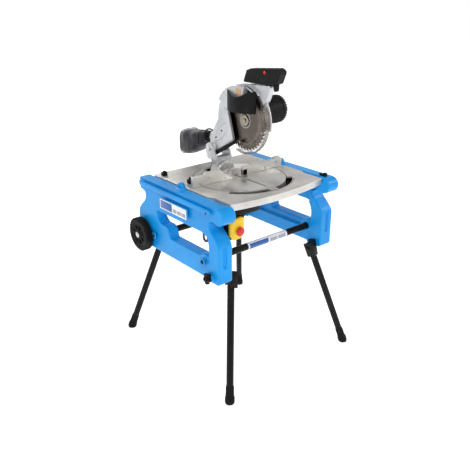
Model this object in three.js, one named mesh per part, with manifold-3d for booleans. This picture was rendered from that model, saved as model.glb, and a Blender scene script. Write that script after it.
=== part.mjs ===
// A flip-over mitre saw on its folding stand: two cast side frames joined by cross tubes, four folding
// legs, a cast table that turns over between the frames, and a 254 mm saw head on a turntable.
// Millimetres, +X right, +Y to the back, +Z up. The origin is on the floor, under the middle of the stand.
import * as THREE from "three";
import { mergeVertices } from "three/addons/utils/BufferGeometryUtils.js";
import Module from "manifold-3d";

const wasm = await Module();
wasm.setup();

// ---- Driving dimensions ------------------------------------------------------------------------------
const GAP = 0.3; // between touching pieces
const RUN = 0.4; // round a turning shaft

const TABLE_TOP = 812; // height of the working surface
const TABLE_PLATE = 9; // thickness of its top plate
const TABLE_SKIRT = 29; // depth of its skirt
const TABLE_WALL = 6;
const TABLE_HALF = 268; // half of its width at the back
const TABLE_FRONT_HALF = TABLE_HALF - 13; // and at the front
const TABLE_REAR = 238;
const TABLE_FRONT = -275; // front corners
const TABLE_BOW = 28; // how far the front edge bows out

const SIDE_GAP = 6; // from the table's edge to a side frame
const FRAME_THICK = 51; // the upper beam
const POST_INSET = 17; // how much further in the posts reach
const FRAME_IN = TABLE_HALF + SIDE_GAP;
const FRAME_OUT = FRAME_IN + FRAME_THICK;
const POST_IN = FRAME_IN - POST_INSET;
const BEAM_TOP = TABLE_TOP - 2;
const BEAM_DEPTH = 123;
const BEAM_UNDER = BEAM_TOP - BEAM_DEPTH;
const FRAME_HEIGHT = 323;
const FRAME_BOTTOM = BEAM_TOP - FRAME_HEIGHT;
const POST_Y = 287; // front and rear faces of the posts
const WAIST_Y = 225; // where they narrow under the beam
const LOW_INSET = FRAME_BOTTOM + 69; // top of the thicker lower rail
const BEAM_REAR = 264;
const NOSE_R = 34;
const NOSE_Y = -280;

const TUBE_R = 15; // cross tubes and legs
const CROSS_Z = FRAME_BOTTOM + 79;
const CROSS_FRONT_Y = -196;
const CROSS_REAR_Y = 154;
const SOCKET_R = 33; // boss round the front socket
const SOCKET_DEPTH = 42; // how far a cross tube enters each frame

const LEG_PIVOT = new THREE.Vector3(POST_IN - 23, 250, FRAME_BOTTOM);
const FOOT_X = FRAME_OUT + 30; // where a leg's axis meets the floor
const FOOT_Y = 385;
const FOOT_R = TUBE_R + 5.5;
const FOOT_SLEEVE = 46; // how far the rubber foot covers the tube
const FOLD_INWARD = { front: 10, rear: 6 }; // degrees that a folded leg points inwards
const FOLD_DOWN = { front: 0, rear: 8 }; // and below the horizontal
const CHEEK = 4; // leg bracket plates
const BOLT_R = 5;
const BOSS_R = 16;
const KNOB_CLEAR = 1.44; // beyond the frame's outer face, along the bolt, at the rim of a lock knob
const REAR_BOSS = 70; // from a rear leg's pivot to the end of its boss inside the frame
const KNOB_R = 24;
const KNOB_H = 21;

const WHEEL_R = 77;
const WHEEL_W = 36;
const WHEEL_Y = 244;
const WHEEL_Z = FRAME_BOTTOM + 62;
const HUB_R = 51;
const AXLE_R = 6;

const FLIP_Y = 10; // axis that the table turns over on
const FLIP_Z = TABLE_TOP - 14;
const FLIP_PIN_R = 7;

const TURN_Y = -30; // centre of the turntable and face of the fence
const TURN_R = 200;
const TURN_PLATE = 12;
const TURN_GAP = 5;
const POINTER_R = TURN_R + 24; // the tab at the front of the turntable
const POINTER_HALF = 17;
const MITRE_MAX = 45;
const LEDGE_IN = TURN_R - 15; // the ledge that carries the turntable
const CUP_R = TURN_R + 32;

const KERF_HALF = 14; // half of the kerf insert's width
const KERF_THICK = 3;
const KERF_FRONT = TURN_Y - TURN_R + 16;
const BLADE_SLOT = [-3.5, 6]; // slot in the insert, wide enough for the tilted blade

const FENCE_THICK = 13;
const FENCE_HALF = TABLE_HALF - 16;
const FENCE_LEFT_H = 53;
const FENCE_RIGHT_H = 40;
const BRIDGE_R = 42; // the bridge behind the blade that joins the two wings
const BRIDGE_H = 27;

const BEVEL_R = 48; // disc that the head tilts on
const BEVEL_Y = TURN_Y + TURN_R - 92; // front face of that disc
const BEVEL_DEPTH = 38;
const KERF_REAR = BEVEL_Y - 38;
const CHEEK_IN = 36; // clevis that holds the head
const CHEEK_OUT = 46;

const CHOP_Y = BEVEL_Y + 47; // axis that the head swings down on
const CHOP_Z = TABLE_TOP + 103;
const BARREL_R = 25;
const PIVOT_PIN_R = 7;

const BLADE_R = 127;
const BLADE_THICK = 2.8;
const BLADE_TEETH = 40;
const BLADE_Y = TURN_Y - 34;
const BLADE_Z = CHOP_Z + 148;
const GUARD_R = BLADE_R + 13;
const GUARD_FROM = 150; // degrees round the blade, from +Y towards +Z
const GUARD_TO = 290;
const SHELL_R = BLADE_R + 21; // outside of the cast upper guard
const SPINDLE_R = 8;

const GEAR_TEETH = 30;
const PINION_TEETH = 10;
const GEAR_MODULE = 1.3;
const GEAR_X = 38;
const GEAR_W = 12;
const MOTOR_R = 60;
const MOTOR_FROM = 62;
const MOTOR_TO = 186;
const MOTOR_END = 212;
const MOTOR_WALL = 5;

const HANDLE_HALF = 18;

// ---- Materials ---------------------------------------------------------------------------------------
const finish = (color, roughness, metalness = 0, opacity = 1) => () =>
  new THREE.MeshStandardMaterial({ color, roughness, metalness, opacity, transparent: opacity < 1 });
const BLUE = finish(0x1c86d8, 0.42);
const BLACK_PAINT = finish(0x121214, 0.45, 0.3);
const BLACK_PLASTIC = finish(0x17181a, 0.6);
const RUBBER = finish(0x0e0e0f, 0.85);
const CAST_ALUMINIUM = finish(0xa9abac, 0.45, 0.8);
const TURNED_ALUMINIUM = finish(0xc4c4c2, 0.28, 0.95);
const STEEL = finish(0x9a9a98, 0.3, 1);
const BLADE_STEEL = finish(0x8f8a84, 0.25, 1);
const YELLOW = finish(0xf3cf12, 0.45);
const RED = finish(0xcf1f1c, 0.4);
const GREEN = finish(0x1f9a48, 0.4);
const CLEAR = finish(0xd8d2c8, 0.15, 0, 0.4);
const FABRIC = finish(0x1b1b20, 0.95);

// ---- Shape helpers -----------------------------------------------------------------------------------
const rad = THREE.MathUtils.degToRad;

// A closed three.js geometry as a solid that can be joined and cut.
function solid(geometry) {
  const bare = geometry.index ? geometry.toNonIndexed() : geometry.clone();
  bare.deleteAttribute("normal");
  bare.deleteAttribute("uv");
  const merged = mergeVertices(bare, 1e-3);
  return new wasm.Manifold(
    new wasm.Mesh({
      numProp: 3,
      vertProperties: new Float32Array(merged.attributes.position.array),
      triVerts: new Uint32Array(merged.index.array),
    }),
  );
}

function geometryOf(manifold) {
  const mesh = manifold.getMesh();
  const geometry = new THREE.BufferGeometry();
  geometry.setAttribute("position", new THREE.BufferAttribute(new Float32Array(mesh.vertProperties), 3));
  geometry.setIndex(new THREE.BufferAttribute(new Uint32Array(mesh.triVerts), 1));
  geometry.computeVertexNormals();
  return geometry;
}

const join = (first, ...others) => others.reduce((sum, one) => sum.add(one), first);
const cut = (first, ...others) => others.reduce((rest, one) => rest.subtract(one), first);

// A box between two corners.
function block([x0, x1], [y0, y1], [z0, z1]) {
  const geometry = new THREE.BoxGeometry(x1 - x0, y1 - y0, z1 - z0);
  return solid(geometry.translate((x0 + x1) / 2, (y0 + y1) / 2, (z0 + z1) / 2));
}

// A cylinder along an axis, from one coordinate to another, centred on the other two.
function rod(axis, radius, [from, to], [a, b], sides = 16) {
  const geometry = new THREE.CylinderGeometry(radius, radius, to - from, sides);
  geometry.rotateX(Math.PI / 2);
  return solid(geometry.translate(0, 0, (from + to) / 2)).transform(axisMatrix(axis, a, b));
}

// Local Z becomes the axis; a and b are the other two coordinates in X, Y, Z order.
function axisMatrix(axis, a, b) {
  const m = new THREE.Matrix4();
  const at = { X: [0, a, b], Y: [a, 0, b], Z: [a, b, 0] }[axis];
  if (axis === "X") m.makeBasis(vec(0, 1, 0), vec(0, 0, 1), vec(1, 0, 0));
  if (axis === "Y") m.makeBasis(vec(0, 0, 1), vec(1, 0, 0), vec(0, 1, 0));
  return m.setPosition(...at).elements;
}

const vec = (x, y, z) => new THREE.Vector3(x, y, z);

// An outline whose corners may be rounded: each point is [u, v] or [u, v, radius].
function outline(points, Kind = THREE.Shape) {
  const shape = new Kind();
  points.forEach(([u, v, r = 0], i) => {
    const here = new THREE.Vector2(u, v);
    const towards = (p) => new THREE.Vector2(p[0], p[1]).sub(here).setLength(r).add(here);
    const start = towards(points.at(i - 1));
    if (i === 0) shape.moveTo(start.x, start.y);
    else shape.lineTo(start.x, start.y);
    if (r > 0) {
      const end = towards(points[(i + 1) % points.length]);
      shape.quadraticCurveTo(u, v, end.x, end.y);
    }
  });
  shape.closePath();
  return shape;
}

// An outline pushed along an axis. Across X the outline is (y, z), across Y (z, x) and across Z (x, y).
function prism(axis, shape, [from, to], curveSegments = 2) {
  const settings = { depth: to - from, bevelEnabled: false, curveSegments };
  const geometry = new THREE.ExtrudeGeometry(shape, settings);
  return solid(geometry.translate(0, 0, from)).transform(axisMatrix(axis, 0, 0));
}

// A profile of [radius, height] points turned about an axis.
function turned(axis, profile, [a, b], sides = 32) {
  const points = profile.map(([r, h]) => new THREE.Vector2(r, h));
  const geometry = new THREE.LatheGeometry(points, sides).rotateX(Math.PI / 2);
  const made = solid(geometry);
  return (made.volume() < 0 ? flipped(made) : made).transform(axisMatrix(axis, a, b));
}

function flipped(manifold) {
  const mesh = manifold.getMesh();
  const triVerts = mesh.triVerts.slice();
  for (let i = 0; i < triVerts.length; i += 3) {
    [triVerts[i], triVerts[i + 1]] = [triVerts[i + 1], triVerts[i]];
  }
  return new wasm.Manifold(new wasm.Mesh({ numProp: 3, vertProperties: mesh.vertProperties, triVerts }));
}

// A ring sector round (cu, cv), between two radii and two angles in degrees.
function sector([cu, cv], inner, outer, from, to) {
  const shape = new THREE.Shape();
  shape.absarc(cu, cv, outer, rad(from), rad(to), false);
  if (inner > 0) shape.absarc(cu, cv, inner, rad(to), rad(from), true);
  else shape.lineTo(cu, cv);
  shape.closePath();
  return shape;
}

// A knob with round lobes, standing on local Z = 0.
function lobedKnob(radius, height, lobes = 5) {
  const shape = new THREE.Shape();
  const steps = lobes * 4;
  for (let i = 0; i < steps; i++) {
    const angle = (i / steps) * 2 * Math.PI;
    const r = radius * (0.87 + 0.13 * Math.cos(lobes * angle));
    shape[i ? "lineTo" : "moveTo"](r * Math.cos(angle), r * Math.sin(angle));
  }
  shape.closePath();
  const lobed = prism("Z", shape, [0, height * 0.75]);
  return join(lobed, rod("Z", radius * 0.5, [0, height], [0, 0], 20));
}

const group = new THREE.Group();
function add(name, material, manifold, parent = group) {
  const mesh = new THREE.Mesh(geometryOf(manifold), material());
  mesh.name = name;
  parent.add(mesh);
  return mesh;
}
const MIRROR = new THREE.Matrix4().makeScale(-1, 1, 1).elements;
const mirrorX = (manifold) => flippedIf(manifold.transform(MIRROR));
const flippedIf = (manifold) => (manifold.volume() < 0 ? flipped(manifold) : manifold);

// ---- Leg geometry: each leg's hinge frame, for the right side ----------------------------------------
// Local X is the hinge axis pointing outwards, local Z runs up the open leg.
function legFrame(which) {
  const s = which === "front" ? -1 : 1;
  const pivot = vec(LEG_PIVOT.x, s * LEG_PIVOT.y, LEG_PIVOT.z);
  const foot = vec(FOOT_X, s * FOOT_Y, 0);
  const open = foot.clone().sub(pivot);
  const length = open.length();
  open.normalize();
  const inward = rad(FOLD_INWARD[which]);
  const down = rad(FOLD_DOWN[which]);
  const fold = vec(
    -Math.sin(inward) * Math.cos(down),
    -s * Math.cos(inward) * Math.cos(down),
    -Math.sin(down),
  );
  const out = open.clone().cross(fold).normalize();
  if (out.x < 0) out.negate();
  const up = open.clone().negate();
  const matrix = new THREE.Matrix4().makeBasis(out, up.clone().cross(out), up).setPosition(pivot);
  // How far along the bolt a lock knob has to stand for its rim to clear the frame's outer face.
  const tilt = Math.sqrt(1 - out.x ** 2);
  const reach = (FRAME_OUT - pivot.x + KNOB_R * tilt) / out.x + KNOB_CLEAR;
  return { matrix, length, reach, swing: s };
}
const LEGS = { front: legFrame("front"), rear: legFrame("rear") };

// ---- Side frames -------------------------------------------------------------------------------------
function sideFrame() {
  const profile = outline([
    [POST_Y - 8, FRAME_BOTTOM, 4],
    [POST_Y, FRAME_BOTTOM + 9, 4],
    [POST_Y, BEAM_UNDER - 29, 18],
    [WAIST_Y, BEAM_UNDER + 29, 14],
    [WAIST_Y, BEAM_TOP - 62, 8],
    [BEAM_REAR, BEAM_TOP - 53, 4],
    [BEAM_REAR, BEAM_TOP, 6],
    [-200, BEAM_TOP],
    [NOSE_Y, BEAM_TOP, 0],
    [NOSE_Y, BEAM_TOP - 60, 0],
    [-WAIST_Y - 12, BEAM_TOP - 60, 10],
    [-WAIST_Y, BEAM_TOP - 72, 4],
    [-WAIST_Y, BEAM_UNDER + 29, 14],
    [-POST_Y, BEAM_UNDER - 29, 18],
    [-POST_Y, FRAME_BOTTOM + 9, 4],
    [-POST_Y + 8, FRAME_BOTTOM, 4],
    [-210, FRAME_BOTTOM, 6],
    [-200, FRAME_BOTTOM + 10, 4],
    [200, FRAME_BOTTOM + 10, 4],
    [210, FRAME_BOTTOM, 6],
  ]);
  const opening = outline([
    [-222, CROSS_Z + 18, 8],
    [46, CROSS_Z + 18, 6],
    [56, CROSS_Z + 52, 8],
    [74, CROSS_Z + 66, 6],
    [114, CROSS_Z + 66, 6],
    [137, CROSS_Z + 86, 8],
    [141, BEAM_UNDER, 8],
    [-222, BEAM_UNDER, 44],
  ]);
  const upper = prism("X", profile, [FRAME_IN, FRAME_OUT]);
  const lower = prism("X", profile, [POST_IN, FRAME_IN]);
  // The posts reach further in at the front, and low down where the turning table doesn't sweep.
  const inset = [POST_IN - 1, FRAME_IN + 1];
  const lowPart = block(inset, [-400, 400], [0, LOW_INSET]);
  const frontPost = block(inset, [-400, -205], [LOW_INSET - 1, BEAM_TOP - 68]);
  let frame = join(upper, lower.intersect(lowPart), lower.intersect(frontPost));
  frame = join(frame, rod("X", NOSE_R, [POST_IN + 3, FRAME_OUT], [NOSE_Y, BEAM_TOP - NOSE_R]));
  frame = cut(frame, prism("X", opening, [POST_IN - 1, FRAME_OUT + 1]));
  frame = join(frame, rod("X", SOCKET_R, [POST_IN, FRAME_OUT], [CROSS_FRONT_Y, CROSS_Z], 24));
  frame = join(frame, rod("X", SOCKET_R - 4, [POST_IN, FRAME_OUT], [CROSS_REAR_Y, CROSS_Z], 24));
  // The lug over the flip pin.
  const lug = outline([
    [FLIP_Y - 38, BEAM_TOP - 20],
    [FLIP_Y + 30, BEAM_TOP - 20],
    [FLIP_Y + 8, BEAM_TOP + 26, 6],
    [FLIP_Y - 16, BEAM_TOP + 26, 6],
  ]);
  frame = join(frame, prism("X", lug, [FRAME_IN, FRAME_IN + 18]));
  // Bosses for the leg pivot bolts; the front ones reach the knobs outside.
  for (const [which, leg] of Object.entries(LEGS)) {
    const reach = which === "front" ? leg.reach : REAR_BOSS;
    const boss = rod("Z", BOSS_R, [10, reach], [0, 0]).transform(boltMatrix(leg));
    frame = join(frame, boss.intersect(block([POST_IN, 900], [-400, 400], [0, BEAM_UNDER])));
    frame = cut(frame, rod("Z", BOLT_R + RUN, [0, 140], [0, 0], 16).transform(boltMatrix(leg)));
  }
  const socket = [POST_IN - 1, POST_IN + SOCKET_DEPTH + GAP];
  for (const y of [CROSS_FRONT_Y, CROSS_REAR_Y]) {
    frame = cut(frame, rod("X", TUBE_R + GAP, socket, [y, CROSS_Z]));
    frame = cut(frame, rod("X", 8, [FRAME_OUT - 6, FRAME_OUT + 1], [y, CROSS_Z], 12));
  }
  frame = cut(frame, rod("X", FLIP_PIN_R + GAP, [FRAME_IN - 1, FRAME_IN + 26], [FLIP_Y, FLIP_Z]));
  frame = cut(frame, rod("X", AXLE_R + GAP, [FRAME_OUT - 30, FRAME_OUT + 1], [WHEEL_Y, WHEEL_Z], 16));
  // Slots moulded into the outer faces of the posts.
  for (const s of [-1, 1]) {
    const y = [s * POST_Y - 10, s * POST_Y + 10];
    frame = cut(frame, block([POST_IN + 26, POST_IN + 44], y, [LOW_INSET, LOW_INSET + 92]));
  }
  return frame;
}

// The pivot bolt's axis as local Z, pointing outwards from the leg.
function boltMatrix(leg) {
  const turn = new THREE.Matrix4().makeRotationY(Math.PI / 2);
  return leg.matrix.clone().multiply(turn).elements;
}

add("right_side_frame", BLUE, sideFrame());
add("left_side_frame", BLUE, mirrorX(sideFrame()));

// ---- Cross tubes, wheels and axles -------------------------------------------------------------------
const tubeEnd = POST_IN + SOCKET_DEPTH;
for (const [name, y] of [["front_cross_tube", CROSS_FRONT_Y], ["rear_cross_tube", CROSS_REAR_Y]]) {
  const tube = rod("X", TUBE_R, [-tubeEnd, tubeEnd], [y, CROSS_Z]);
  add(name, BLACK_PAINT, cut(tube, rod("X", TUBE_R - 2, [-tubeEnd - 1, tubeEnd + 1], [y, CROSS_Z])));
}

const wheelIn = FRAME_OUT + 5;
const wheelOut = wheelIn + WHEEL_W;
const onWheel = [WHEEL_Y, WHEEL_Z];
function tyre() {
  const edge = 7;
  const profile = [
    [HUB_R + GAP, wheelIn + 3],
    [WHEEL_R - edge, wheelIn],
    [WHEEL_R - 2, wheelIn + edge],
    [WHEEL_R, (wheelIn + wheelOut) / 2],
    [WHEEL_R - 2, wheelOut - edge],
    [WHEEL_R - edge, wheelOut],
    [HUB_R + GAP, wheelOut - 3],
    [HUB_R + GAP, wheelIn + 3],
  ];
  return turned("X", profile, onWheel, 24);
}
function wheelHub() {
  const bore = AXLE_R + RUN;
  const profile = [
    [bore, wheelIn + 2],
    [HUB_R, wheelIn + 4],
    [HUB_R, wheelOut - 5],
    [HUB_R - 12, wheelOut - 5],
    [HUB_R - 26, wheelOut - 1],
    [bore, wheelOut],
    [bore, wheelIn + 2],
  ];
  return turned("X", profile, onWheel, 24);
}
function wheelAxle() {
  const shaft = rod("X", AXLE_R, [FRAME_OUT - 29, wheelOut + 2], onWheel, 16);
  return join(shaft, rod("X", 13, [wheelOut + 1, wheelOut + 5], onWheel, 16));
}
for (const [name, material, make] of [
  ["wheel_tyre", RUBBER, tyre],
  ["wheel_hub", BLACK_PLASTIC, wheelHub],
  ["wheel_axle", STEEL, wheelAxle],
]) {
  add(name + "_right", material, make());
  add(name + "_left", material, mirrorX(make()));
}

// ---- Legs, feet, brackets and lock knobs -------------------------------------------------------------
const floorCut = block([-600, 600], [-600, 600], [-100, 0]);
function legPieces(which) {
  const leg = LEGS[which];
  const place = leg.matrix.elements;
  const eye = rod("X", TUBE_R + 1, [-TUBE_R, TUBE_R], [0, 0]);
  const tube = rod("Z", TUBE_R, [-(leg.length - 26), -2], [0, 0]);
  const bolt = rod("X", BOLT_R + RUN, [-40, 40], [0, 0], 16);
  const inside = rod("Z", TUBE_R - 2, [-leg.length, -40], [0, 0]);
  const legSolid = cut(join(tube, eye), bolt, inside).transform(place);

  const L = leg.length;
  const profile = [
    [0, -L - 14],
    [FOOT_R * 0.62, -L - 8],
    [FOOT_R, -L + 8],
    [FOOT_R, -L + 26],
    [TUBE_R + 3, -L + 36],
    [TUBE_R + 2.5, -L + 26 + FOOT_SLEEVE],
    [TUBE_R + GAP, -L + 26 + FOOT_SLEEVE],
    [TUBE_R + GAP, -L + 26 - GAP],
    [0, -L + 26 - GAP],
  ];
  const foot = cut(turned("Z", profile, [0, 0], 16).transform(place), floorCut);

  // The bracket: two cheeks, a stop plate on the side that the open leg leans on, and the pivot bolt.
  const s = leg.swing;
  const side = (from, to) => (s > 0 ? [from, to] : [-to, -from]);
  const stop = TUBE_R + 1.4;
  const outside = TUBE_R + 1.5;
  const cheekY = side(-17, stop + CHEEK);
  const cheekOut = block([outside, 40], cheekY, [-44, 24]);
  const cheekIn = block([-outside - CHEEK, -outside], cheekY, [-44, 24]);
  const stopPlate = block([-outside - 1, outside + 1], side(stop, stop + CHEEK), [-44, 24]);
  const topPlate = block([-outside - 1, outside + 1], side(-6, stop + 1), [20, 24]);
  let bracket = join(cheekOut, cheekIn, stopPlate, topPlate);
  const [innerEnd, outerEnd] = which === "front" ? [-27, leg.reach + 12] : [-34, 66];
  bracket = bracket.transform(place).intersect(block([0, POST_IN - GAP], [-400, 400], [0, BEAM_UNDER]));
  const pin = rod("X", BOLT_R, [innerEnd, outerEnd], [0, 0], 16);
  bracket = join(bracket, pin.transform(place));
  const nut = rod("X", 9, [innerEnd, -outside - 1], [0, 0], 6).transform(place);
  if (which === "front") bracket = join(bracket, nut);

  const turn = new THREE.Matrix4().makeRotationY(which === "front" ? Math.PI / 2 : -Math.PI / 2);
  const stand = which === "front" ? leg.reach + GAP : outside + CHEEK + GAP + 1;
  const lift = new THREE.Matrix4().makeTranslation(0, 0, stand);
  const knobPlace = leg.matrix.clone().multiply(turn).multiply(lift);
  const bore = rod("Z", BOLT_R + GAP, [-1, 14], [0, 0]);
  const knob = cut(lobedKnob(KNOB_R, KNOB_H), bore).transform(knobPlace.elements);
  return { leg: legSolid, foot, leg_bracket: bracket, leg_lock_knob: knob };
}
const LEG_FINISH = {
  leg: BLACK_PAINT,
  foot: RUBBER,
  leg_bracket: BLACK_PAINT,
  leg_lock_knob: BLACK_PLASTIC,
};
for (const which of ["front", "rear"]) {
  for (const [name, piece] of Object.entries(legPieces(which))) {
    add(`${name}_${which}_right`, LEG_FINISH[name], piece);
    add(`${name}_${which}_left`, LEG_FINISH[name], mirrorX(piece));
  }
}

// ---- Switch under the front left of the table --------------------------------------------------------
const SWITCH_X = [7 - POST_IN, 77 - POST_IN];
const SWITCH_Z = [TABLE_TOP - 158, TABLE_TOP - 70];
const SWITCH_FACE = -255;
const COVER_DEPTH = 15;
const switchMid = (SWITCH_X[0] + SWITCH_X[1]) / 2;
const STOP = { x: switchMid + 6, z: SWITCH_Z[0] + 36, r: 19, stem: 7 };
const START = { x: switchMid - 17, z: SWITCH_Z[0] + 62, stem: 7 };

const bore = (button, y) => rod("Y", button.stem + RUN, y, [button.x, button.z], 20);
add(
  "switch_box",
  BLACK_PLASTIC,
  cut(block(SWITCH_X, [SWITCH_FACE, -188], SWITCH_Z), bore(START, [SWITCH_FACE - 1, SWITCH_FACE + 14])),
);
const corner = 18;
const [sx0, sx1] = SWITCH_X;
const [sz0, sz1] = SWITCH_Z;
const octagon = (grow) =>
  outline([
    [sz0 + corner, sx0 - grow],
    [sz1, sx0 - grow],
    [sz1, sx1 + grow],
    [sz0 + corner, sx1 + grow],
    [sz0 - grow, sx1 - corner],
    [sz0 - grow, sx0 + corner],
  ]);
const coverBack = SWITCH_FACE - GAP;
const cover = cut(
  prism("Y", octagon(0), [coverBack - COVER_DEPTH, coverBack]),
  prism("Y", octagon(-5), [coverBack - COVER_DEPTH + 4, coverBack + 1]),
  bore(STOP, [coverBack - COVER_DEPTH - 1, coverBack]),
);
add("switch_cover", YELLOW, cover);
const stopFace = coverBack - COVER_DEPTH;
const stopHead = turned(
  "Y",
  [
    [0, stopFace - 18],
    [STOP.r * 0.7, stopFace - 17],
    [STOP.r, stopFace - 12],
    [STOP.r, stopFace - 6],
    [0, stopFace - 6],
  ],
  [STOP.x, STOP.z],
  24,
);
const stopStem = rod("Y", STOP.stem, [stopFace - 7, stopFace + 8], [STOP.x, STOP.z], 16);
add("stop_button", RED, join(stopHead, stopStem));
const startCap = rod("Y", START.stem, [SWITCH_FACE - 4, SWITCH_FACE + 9], [START.x, START.z], 20);
add("start_button", GREEN, startCap);
const SHELF_Z = [SWITCH_Z[1] + GAP, SWITCH_Z[1] + 4];
const SHELF_X = [GAP - POST_IN, 172 - POST_IN];
const shelf = block(SHELF_X, [SWITCH_FACE + 3, -188], SHELF_Z);
const lip = block(SHELF_X, [SWITCH_FACE + 3, SWITCH_FACE + 9], [SHELF_Z[0], SHELF_Z[1] + 22]);
add("switch_bracket", BLACK_PAINT, join(shelf, lip));

// ---- Cord hook under the left beam -------------------------------------------------------------------
const HOOK = { x: -(FRAME_IN + 26), y: -160, r: 4.5, drop: 34, bend: 13 };
function cordHook() {
  const top = BEAM_UNDER - GAP;
  const low = top - HOOK.drop;
  const path = new THREE.CurvePath();
  path.add(new THREE.LineCurve3(vec(HOOK.x, HOOK.y, top), vec(HOOK.x, HOOK.y, low)));
  const down = (y, z) => vec(HOOK.x, y, z);
  const far = HOOK.y - 2 * HOOK.bend;
  const k = HOOK.bend * 1.33;
  const bend = [down(HOOK.y, low), down(HOOK.y, low - k), down(far, low - k), down(far, low)];
  path.add(new THREE.CubicBezierCurve3(...bend));
  path.add(new THREE.LineCurve3(down(far, low), down(far - 2, low + 9)));
  const circle = new THREE.Shape().absarc(0, 0, HOOK.r, 0, 2 * Math.PI, false);
  const geometry = new THREE.ExtrudeGeometry(circle, { steps: 14, extrudePath: path, curveSegments: 2 });
  const wire = flippedIf(solid(geometry));
  const foot = block([HOOK.x - 8, HOOK.x + 8], [HOOK.y - 12, HOOK.y + 12], [top - 4, top]);
  return join(cut(wire, block([-400, 0], [-400, 0], [top - 1, top + 20])), foot);
}
add("cord_hook", STEEL, cordHook());

// ---- Table -------------------------------------------------------------------------------------------
function tableOutline(inset) {
  const half = TABLE_HALF - inset;
  const front = TABLE_FRONT_HALF - inset;
  const corner = TABLE_FRONT + inset;
  const shape = new THREE.Shape();
  shape.moveTo(-half + 8, TABLE_REAR - inset);
  shape.quadraticCurveTo(-half, TABLE_REAR - inset, -half, TABLE_REAR - inset - 8);
  shape.lineTo(-half, -150);
  shape.lineTo(-front, -166);
  shape.lineTo(-front, corner);
  shape.quadraticCurveTo(0, corner - 2 * TABLE_BOW, front, corner);
  shape.lineTo(front, -166);
  shape.lineTo(half, -150);
  shape.lineTo(half, TABLE_REAR - inset - 8);
  shape.quadraticCurveTo(half, TABLE_REAR - inset, half - 8, TABLE_REAR - inset);
  shape.closePath();
  return shape;
}
const TURN = [0, TURN_Y];
const disc = (radius, z, sides = 40) => rod("Z", radius, z, TURN, sides);
const SWEEP = MITRE_MAX + 7; // the recess that the pointer tab swings in
const tableUnder = TABLE_TOP - TABLE_SKIRT;
const plateUnder = TABLE_TOP - TABLE_PLATE;
const flipEar = (side) => {
  const x = side > 0 ? [TABLE_HALF - 26, TABLE_HALF - 1] : [1 - TABLE_HALF, 26 - TABLE_HALF];
  return block(x, [FLIP_Y - 16, FLIP_Y + 16], [tableUnder, plateUnder + 1]);
};
function tableCasting() {
  const body = prism("Z", tableOutline(0), [tableUnder, TABLE_TOP], 8);
  const pocket = prism("Z", tableOutline(TABLE_WALL), [tableUnder - 1, plateUnder], 8);
  let table = cut(body, pocket);
  const cup = cut(disc(CUP_R + 6, [tableUnder, plateUnder + 1]), disc(CUP_R, [tableUnder + 6, TABLE_TOP]));
  table = join(table, cup, flipEar(1), flipEar(-1));
  table = cut(table, disc(TURN_R + TURN_GAP, [plateUnder - 2, TABLE_TOP + 1]));
  const recess = sector(TURN, TURN_R - 10, POINTER_R + 5, 270 - SWEEP, 270 + SWEEP);
  table = cut(table, prism("Z", recess, [plateUnder - 2, TABLE_TOP + 1], 10));
  table = cut(table, disc(LEDGE_IN, [tableUnder - 1, TABLE_TOP + 1]));
  for (const side of [-1, 1]) {
    const x = [side * (TABLE_HALF - 13) - 14, side * (TABLE_HALF - 13) + 14];
    table = cut(table, rod("X", FLIP_PIN_R + RUN, x, [FLIP_Y, FLIP_Z]));
  }
  table = cut(table, rod("Z", CLAMP.stem + RUN, [tableUnder - 1, TABLE_TOP + 1], [CLAMP.x, CLAMP.y], 16));
  return table;
}
const CLAMP = { x: 28 - TABLE_HALF, y: 194, r: 15, h: 20, stem: 4 };
add("table_casting", CAST_ALUMINIUM, tableCasting());

const flipPin = rod("X", FLIP_PIN_R, [TABLE_HALF - 25, FRAME_IN + 25], [FLIP_Y, FLIP_Z]);
add("flip_pin_right", STEEL, flipPin);
add("flip_pin_left", STEEL, mirrorX(flipPin));

function knobOn({ x, y, r, h, stem }, seat, reach) {
  const shank = rod("Z", stem, [-reach, 1], [0, 0], 16);
  return join(lobedKnob(r, h), shank).transform(new THREE.Matrix4().makeTranslation(x, y, seat).elements);
}
add("mitre_clamp_knob", BLACK_PLASTIC, knobOn(CLAMP, TABLE_TOP + GAP, 22));

const LATCH = { x: FRAME_IN + 17, y: -262 };
function tableLatch() {
  const z = BEAM_TOP + GAP;
  const lever = outline([
    [LATCH.x - 9, LATCH.y - 9, 7],
    [LATCH.x + 9, LATCH.y - 9, 7],
    [LATCH.x + 8, LATCH.y + 30, 6],
    [LATCH.x - 8, LATCH.y + 30, 6],
  ]);
  return join(prism("Z", lever, [z, z + 9]), rod("Z", 9, [z, z + 15], [LATCH.x, LATCH.y], 20));
}
add("table_latch", BLACK_PLASTIC, tableLatch());

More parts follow.
